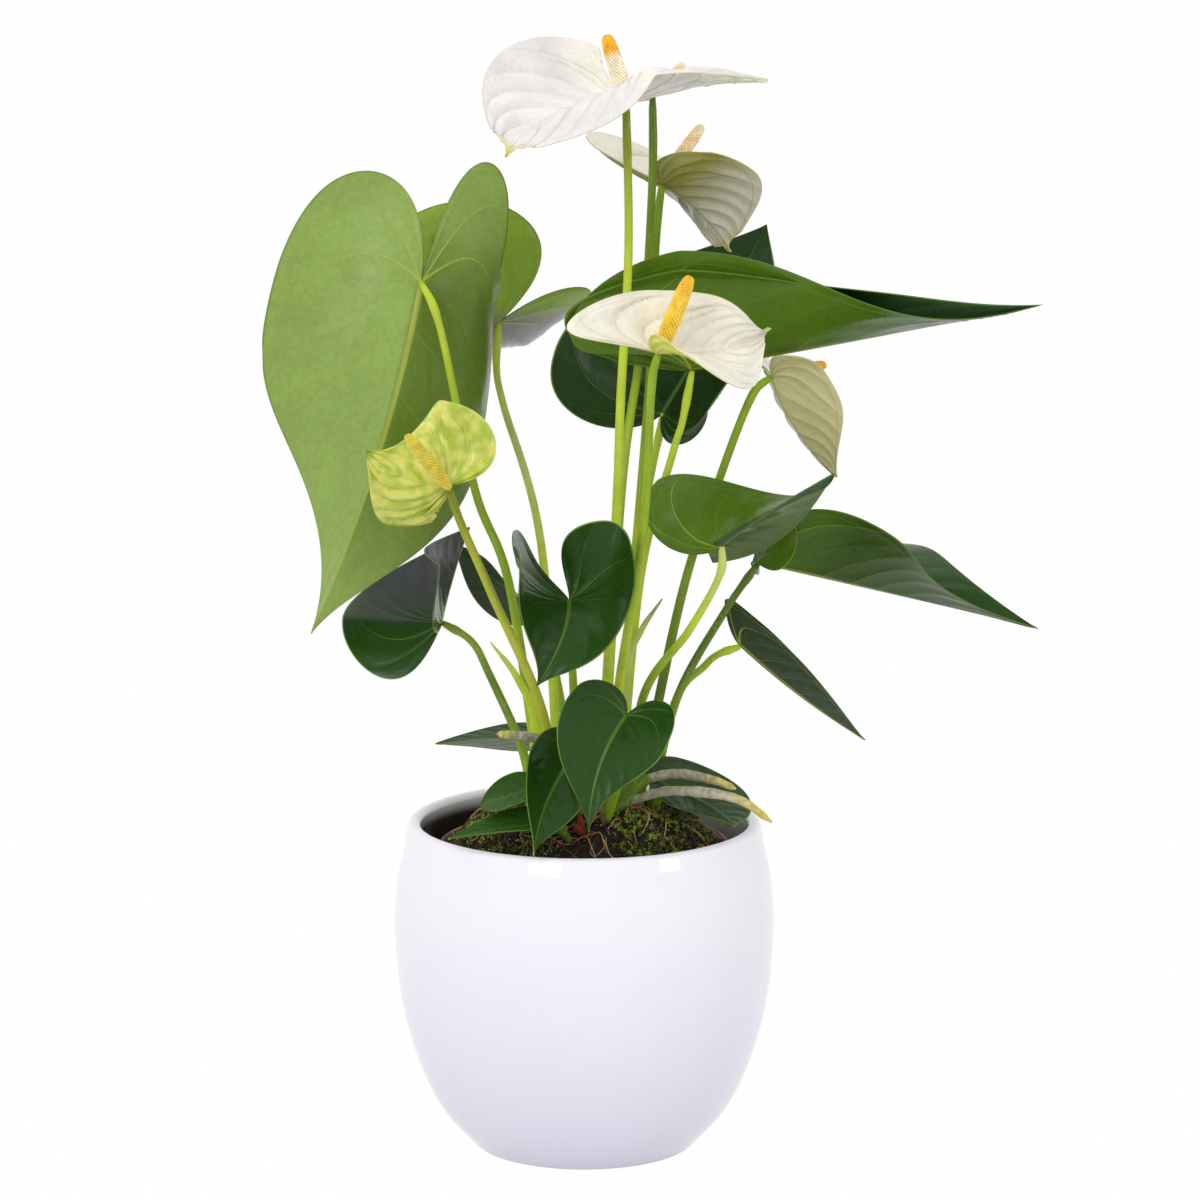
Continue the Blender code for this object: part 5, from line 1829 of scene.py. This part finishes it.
class SoilSettings(bpy.types.PropertyGroup):
    """Colours of the pots, the soil, what lies on it, the sheaths and the aerial roots."""

    glaze: tone("Glaze", "The cache-pot's white glaze", 0.975, 0.97, 1.0)
    # Painted shade: the glaze near the foot is darker and more lilac, where less light falls.
    low_glaze: tone("Low Glaze", "The glaze near the cache-pot's foot", 0.915, 0.905, 0.965)
    clay: tone("Grow Pot", "The grow pot's brown plastic", 0.42, 0.22, 0.15)
    # Peat and dull moss are darkened with painted shade, and bright moss is lightened with painted
    # highlight.
    peat: tone("Peat", "The damp soil", 0.050, 0.036, 0.030)
    moss: tone("Moss", "Dull moss on the soil", 0.10, 0.15, 0.04)
    bright_moss_and_highlight: tone("Bright Moss", "Fresh moss on the soil", 0.68, 0.76, 0.22)
    fibre: tone("Fibre", "Pale root fibres and straw", 0.76, 0.62, 0.45)
    dark_fibre: tone("Dark Fibre", "Dark root fibres", 0.30, 0.21, 0.14)
    red_fibre: tone("Red Fibre", "Reddish roots and bark", 0.50, 0.27, 0.18)
    husk: tone("Husk", "Old brown husks at the crown", 0.45, 0.36, 0.18)
    bract: tone("Bract", "Dry papery bracts at the crown", 0.60, 0.26, 0.12)
    sheath: tone("Sheath", "Green sheaths beside the stalks", 0.80, 0.82, 0.44)
    sheath_tip: tone("Sheath Tip", "Dry end of a sheath", 0.62, 0.58, 0.44)
    root_grey: tone("Root", "Skin of the aerial roots", 0.76, 0.74, 0.64)
    root_tip: tone("Root Tip", "Growing end of an aerial root", 0.88, 0.82, 0.42)


# --- Operators -----------------------------------------------------------------------------------


class ANTHURIUM_OT_pots(bpy.types.Operator):
    """Make the glazed cache-pot and the grow pot inside it"""

    bl_idname = "anthurium.pots"
    bl_label = "Make Pots"

    def execute(self, context):
        settings = context.scene.anthurium_soil
        cache_pot = make_cache_pot(glaze_finish(tuple(settings.glaze), tuple(settings.low_glaze)))
        finish_piece(cache_pot, "glazed_ceramic", "cache_pot")
        grow_pot = make_grow_pot(plastic_finish(tuple(settings.clay)))
        finish_piece(grow_pot, "grow_pot", "grow_pot")
        return {"FINISHED"}


class ANTHURIUM_OT_soil(bpy.types.Operator):
    """Make the soil with its moss, fibres, crumbs and bracts"""

    bl_idname = "anthurium.soil"
    bl_label = "Make Soil"

    def execute(self, context):
        settings = context.scene.anthurium_soil
        soil = make_soil(peat_finish(tuple(settings.peat)))
        moss = make_moss(moss_finish(tuple(settings.moss), tuple(settings.bright_moss_and_highlight)))
        litter = litter_finish()
        for piece in (soil, moss, make_fibres(litter), make_scraps(litter), make_bracts(litter)):
            finish_piece(piece, "soil", "soil")
        return {"FINISHED"}


class ANTHURIUM_OT_stem(bpy.types.Operator):
    """Make the short stem and the two sheaths beside the stalks"""

    bl_idname = "anthurium.stem"
    bl_label = "Make Stem"

    def execute(self, context):
        material = kept_finish("stalk_skin", stalk_finish)
        share = np.linspace(0, 1, STEM_RINGS)
        radii = np.interp(share, (0, 0.5, 1), STEM_BASE_RADII) * STEM_SLIMMING
        path = smooth_path(SHORT_STEM, STEM_RINGS)
        stem = make_tube("short_stem", path, radii, material, grooves=STEM_GROOVES)
        tint_rod(stem, ring_colours(STEM_LOOK, STEM_RINGS))
        finish_piece(stem, "leaf_stalk", "stem_base")
        share = np.linspace(0, 1, SHEATH_RINGS)
        radii = np.interp(share, (0, 0.55, 0.9, 1), SHEATH_WIDTHS)
        flat = np.interp(share, (0, 0.4, 1), (0.8, 0.32, 0.25))
        for name, (foot, *way) in SHEATHS.items():
            path = smooth_path([(*foot, SOIL_TOP - STALK_BURIED), *way], SHEATH_RINGS)
            sheath = make_tube(f"{name}_bract", path, radii, material, flat)
            tint_rod(sheath, ring_colours(SHEATH_LOOKS[name], SHEATH_RINGS))
            finish_piece(sheath, "leaf_stalk", name)
        return {"FINISHED"}


class ANTHURIUM_OT_roots(bpy.types.Operator):
    """Make the aerial roots"""

    bl_idname = "anthurium.roots"
    bl_label = "Make Aerial Roots"

    def execute(self, context):
        material = kept_finish("aerial_root_skin", root_finish)
        share = np.linspace(0, 1, ROOT_RINGS)
        radii = np.interp(share, (0, 0.5, 1), ROOT_RADII) * np.interp(share, (0.3, 1.0), ROOT_SWELL)
        radii = radii * (1 + ROOT_UNEVEN * np.sin(share * 41) * np.sin(share * 17))
        radii = radii * (1 - ROOT_POINTING * smooth_step(0.94, 1.0, share))
        rings = mixed("root_grey", "root_tip", smooth_step(0.62, 0.92, share))
        for name, way in AERIAL_ROOTS.items():
            root = make_tube(f"{name}_skin", smooth_path(way, ROOT_RINGS), radii, material)
            tint_rod(root, rings)
            finish_piece(root, "aerial_root", name)
        return {"FINISHED"}


def make_stalks(kind, plants, radii, swollen, usual_look):
    """The stalks of all leaves or all flowers, each from the crown to its blade."""
    material = kept_finish("stalk_skin", stalk_finish)
    for name, plant in plants.items():
        node = f"{kind}_stalk_{name}"
        looks = [f"stalk_{look}" for look in STALK_LOOKS.get(node, usual_look)]
        piece = make_stalk(f"{kind}_{name}_stalk", LEAF_SHAPE | plant, radii, swollen, looks, material)
        finish_piece(piece, f"{kind}_stalk", node)


class ANTHURIUM_OT_leaf_stalks(bpy.types.Operator):
    """Make the leaf stalks"""

    bl_idname = "anthurium.leaf_stalks"
    bl_label = "Make Leaf Stalks"

    def execute(self, context):
        make_stalks("leaf", LEAVES, LEAF_STALK_RADII, LEAF_JOINT_SWELL, LEAF_STALK_LOOK)
        return {"FINISHED"}


class ANTHURIUM_OT_flower_stalks(bpy.types.Operator):
    """Make the flower stalks"""

    bl_idname = "anthurium.flower_stalks"
    bl_label = "Make Flower Stalks"

    def execute(self, context):
        make_stalks("flower", FLOWERS, FLOWER_STALK_RADII, FLOWER_JOINT_SWELL, FLOWER_STALK_LOOK)
        return {"FINISHED"}


class ANTHURIUM_OT_leaves(bpy.types.Operator):
    """Make the leaf blades"""

    bl_idname = "anthurium.leaves"
    bl_label = "Make Leaves"

    def execute(self, context):
        settings = context.scene.anthurium_leaves
        vein, margin_tone = tuple(settings.vein), tuple(settings.margin)
        face = blade_finish("leaf_upper_side", LEAF_VEINS, vein, margin_tone)
        back = blade_finish("leaf_underside", LEAF_VEINS, tuple(settings.underside_vein), vein)
        depths = (settings.crease, settings.puff, settings.puff_width)
        for name, leaf in LEAVES.items():
            shape = LEAF_SHAPE | leaf
            piece = make_blade(f"leaf_{name}_blade", shape, LEAF_VEINS, depths, settings.sheet, [face, back])
            blade_tints(piece, LEAF_LOOKS[name])
            finish_piece(piece, "leaf_blade", f"leaf_{name}")
        return {"FINISHED"}


class ANTHURIUM_OT_spathes(bpy.types.Operator):
    """Make the spathes"""

    bl_idname = "anthurium.spathes"
    bl_label = "Make Spathes"

    def execute(self, context):
        settings = context.scene.anthurium_flowers
        vein = tuple(settings.spathe_vein)
        face = blade_finish("spathe_face", SPATHE_VEINS, vein, tuple(settings.spathe_cream))
        back = blade_finish("spathe_back", SPATHE_VEINS, vein, tuple(settings.spathe_lime))
        for name, flower in FLOWERS.items():
            puff = settings.puff * PUFF_SHARES.get(name, 1.0)
            piece = make_blade(
                f"flower_{name}_spathe",
                LEAF_SHAPE | flower,
                SPATHE_VEINS,
                (settings.crease, puff, settings.puff_width),
                settings.sheet,
                [face, back],
                TAILED.get(name, 0.0),
            )
            blade_tints(piece, SPATHE_LOOKS[name])
            finish_piece(piece, "spathe", f"spathe_{name}")
        return {"FINISHED"}


class ANTHURIUM_OT_spadices(bpy.types.Operator):
    """Make the spadices with their florets"""

    bl_idname = "anthurium.spadices"
    bl_label = "Make Spadices"

    def execute(self, context):
        material = kept_finish("spadix_florets", spadix_finish)
        for name, flower in FLOWERS.items():
            piece = make_spadix(f"flower_{name}_spadix", LEAF_SHAPE | flower, SPADIX_LOOKS[name], material)
            finish_piece(piece, "spadix", f"spadix_{name}")
        return {"FINISHED"}


def area_lamp(name, place, target, size, power):
    """A rectangular lamp aimed at the target."""
    data = bpy.data.lights.new(name, "AREA")
    data.shape = "RECTANGLE"
    data.size, data.size_y = size
    data.energy = power
    lamp = placed(name, data)
    lamp.location = place
    lamp.rotation_euler = (Vector(target) - Vector(place)).to_track_quat("-Z", "Y").to_euler()


def seen_directly(tree):
    """1 where a camera, mirror or clear-glass ray looks at the surface."""
    path = tree.add("ShaderNodeLightPath")
    return tree.largest(path["Is Camera Ray"], path["Is Glossy Ray"], path["Is Transmission Ray"])


def light_world(level):
    """An even white surround that lights the plant at this level and is seen as plain white."""
    world = bpy.data.worlds.new("studio")
    world.use_nodes = True
    tree = NodeTree(world.node_tree)
    background = world.node_tree.nodes["Background"]
    background.inputs["Color"].default_value = (1.0, 1.0, 1.0, 1.0)
    given = {"Value": seen_directly(tree), "To Min": level, "To Max": 1.0}
    tree.put(background.inputs["Strength"], tree.add("ShaderNodeMapRange", given)[0])
    bpy.context.scene.world = world


def make_floor():
    """A pale floor that reads as white where it is seen, and keeps a little of the shadow."""
    corners = [(x * FLOOR_REACH, y * FLOOR_REACH, 0) for x, y in ((-1, -1), (1, -1), (1, 1), (-1, 1))]
    mesh = bpy.data.meshes.new("floor")
    mesh.from_pydata(corners, [], [[0, 1, 2, 3]])
    shader = ShaderTree("pale_floor")
    shader.finish((0.80, 0.80, 0.80), 0.9)
    glow = shader.add("ShaderNodeEmission")[0]
    share = shader.times(seen_directly(shader), FLOOR_GLOW)
    blend = shader.add("ShaderNodeMixShader", {0: share, 1: shader.surface.outputs[0], 2: glow})[0]
    shader.put(shader.tree.nodes["Material Output"].inputs["Surface"], blend)
    mesh.materials.append(shader.material)
    floor = placed("floor", mesh)


class ANTHURIUM_OT_stage(bpy.types.Operator):
    """Make the pale floor, the soft lamps and the camera"""

    bl_idname = "anthurium.stage"
    bl_label = "Make Stage"

    def execute(self, context):
        scene = context.scene
        make_floor()
        light_world(WORLD_LEVEL)
        for name, (place, target, size, power) in LAMPS.items():
            area_lamp(name, place, target, size, power)
        data = bpy.data.cameras.new("camera")
        data.lens = CAMERA_LENS
        data.sensor_width = CAMERA_SENSOR
        camera = placed("camera", data)
        camera.location = CAMERA_PLACE
        camera.rotation_euler = (CAMERA_PITCH, 0.0, 0.0)
        scene.camera = camera
        scene.view_settings.view_transform = "Standard"
        return {"FINISHED"}


OPERATORS = (
    ANTHURIUM_OT_pots,
    ANTHURIUM_OT_soil,
    ANTHURIUM_OT_stem,
    ANTHURIUM_OT_roots,
    ANTHURIUM_OT_leaf_stalks,
    ANTHURIUM_OT_flower_stalks,
    ANTHURIUM_OT_leaves,
    ANTHURIUM_OT_spathes,
    ANTHURIUM_OT_spadices,
    ANTHURIUM_OT_stage,
)


class ANTHURIUM_PT_panel(bpy.types.Panel):
    """The sidebar panel with the plant's settings and steps"""

    bl_idname = "ANTHURIUM_PT_panel"
    bl_label = "Potted Anthurium"
    bl_space_type = "VIEW_3D"
    bl_region_type = "UI"
    bl_category = "Anthurium"

    def draw(self, context):
        for operator in OPERATORS:
            self.layout.operator(operator.bl_idname)
        for name in SETTINGS:
            group = getattr(context.scene, name)
            box = self.layout.box()
            for prop in group.bl_rna.properties:
                if prop.identifier not in ("rna_type", "name"):
                    box.prop(group, prop.identifier)


SETTINGS = {
    "anthurium_leaves": LeafSettings,
    "anthurium_flowers": FlowerSettings,
    "anthurium_soil": SoilSettings,
}


def register():
    for name, group in SETTINGS.items():
        bpy.utils.register_class(group)
        setattr(bpy.types.Scene, name, bpy.props.PointerProperty(type=group))
    for made in (*OPERATORS, ANTHURIUM_PT_panel):
        bpy.utils.register_class(made)


def unregister():
    for made in (ANTHURIUM_PT_panel, *reversed(OPERATORS)):
        bpy.utils.unregister_class(made)
    for name, group in SETTINGS.items():
        delattr(bpy.types.Scene, name)
        bpy.utils.unregister_class(group)


def main():
    register()
    for name in ("Cube", "Light", "Camera"):
        if name in bpy.data.objects:
            bpy.data.objects.remove(bpy.data.objects[name])
    for operator in OPERATORS:
        group, name = operator.bl_idname.split(".")
        getattr(getattr(bpy.ops, group), name)()


if __name__ == "__main__":
    main()
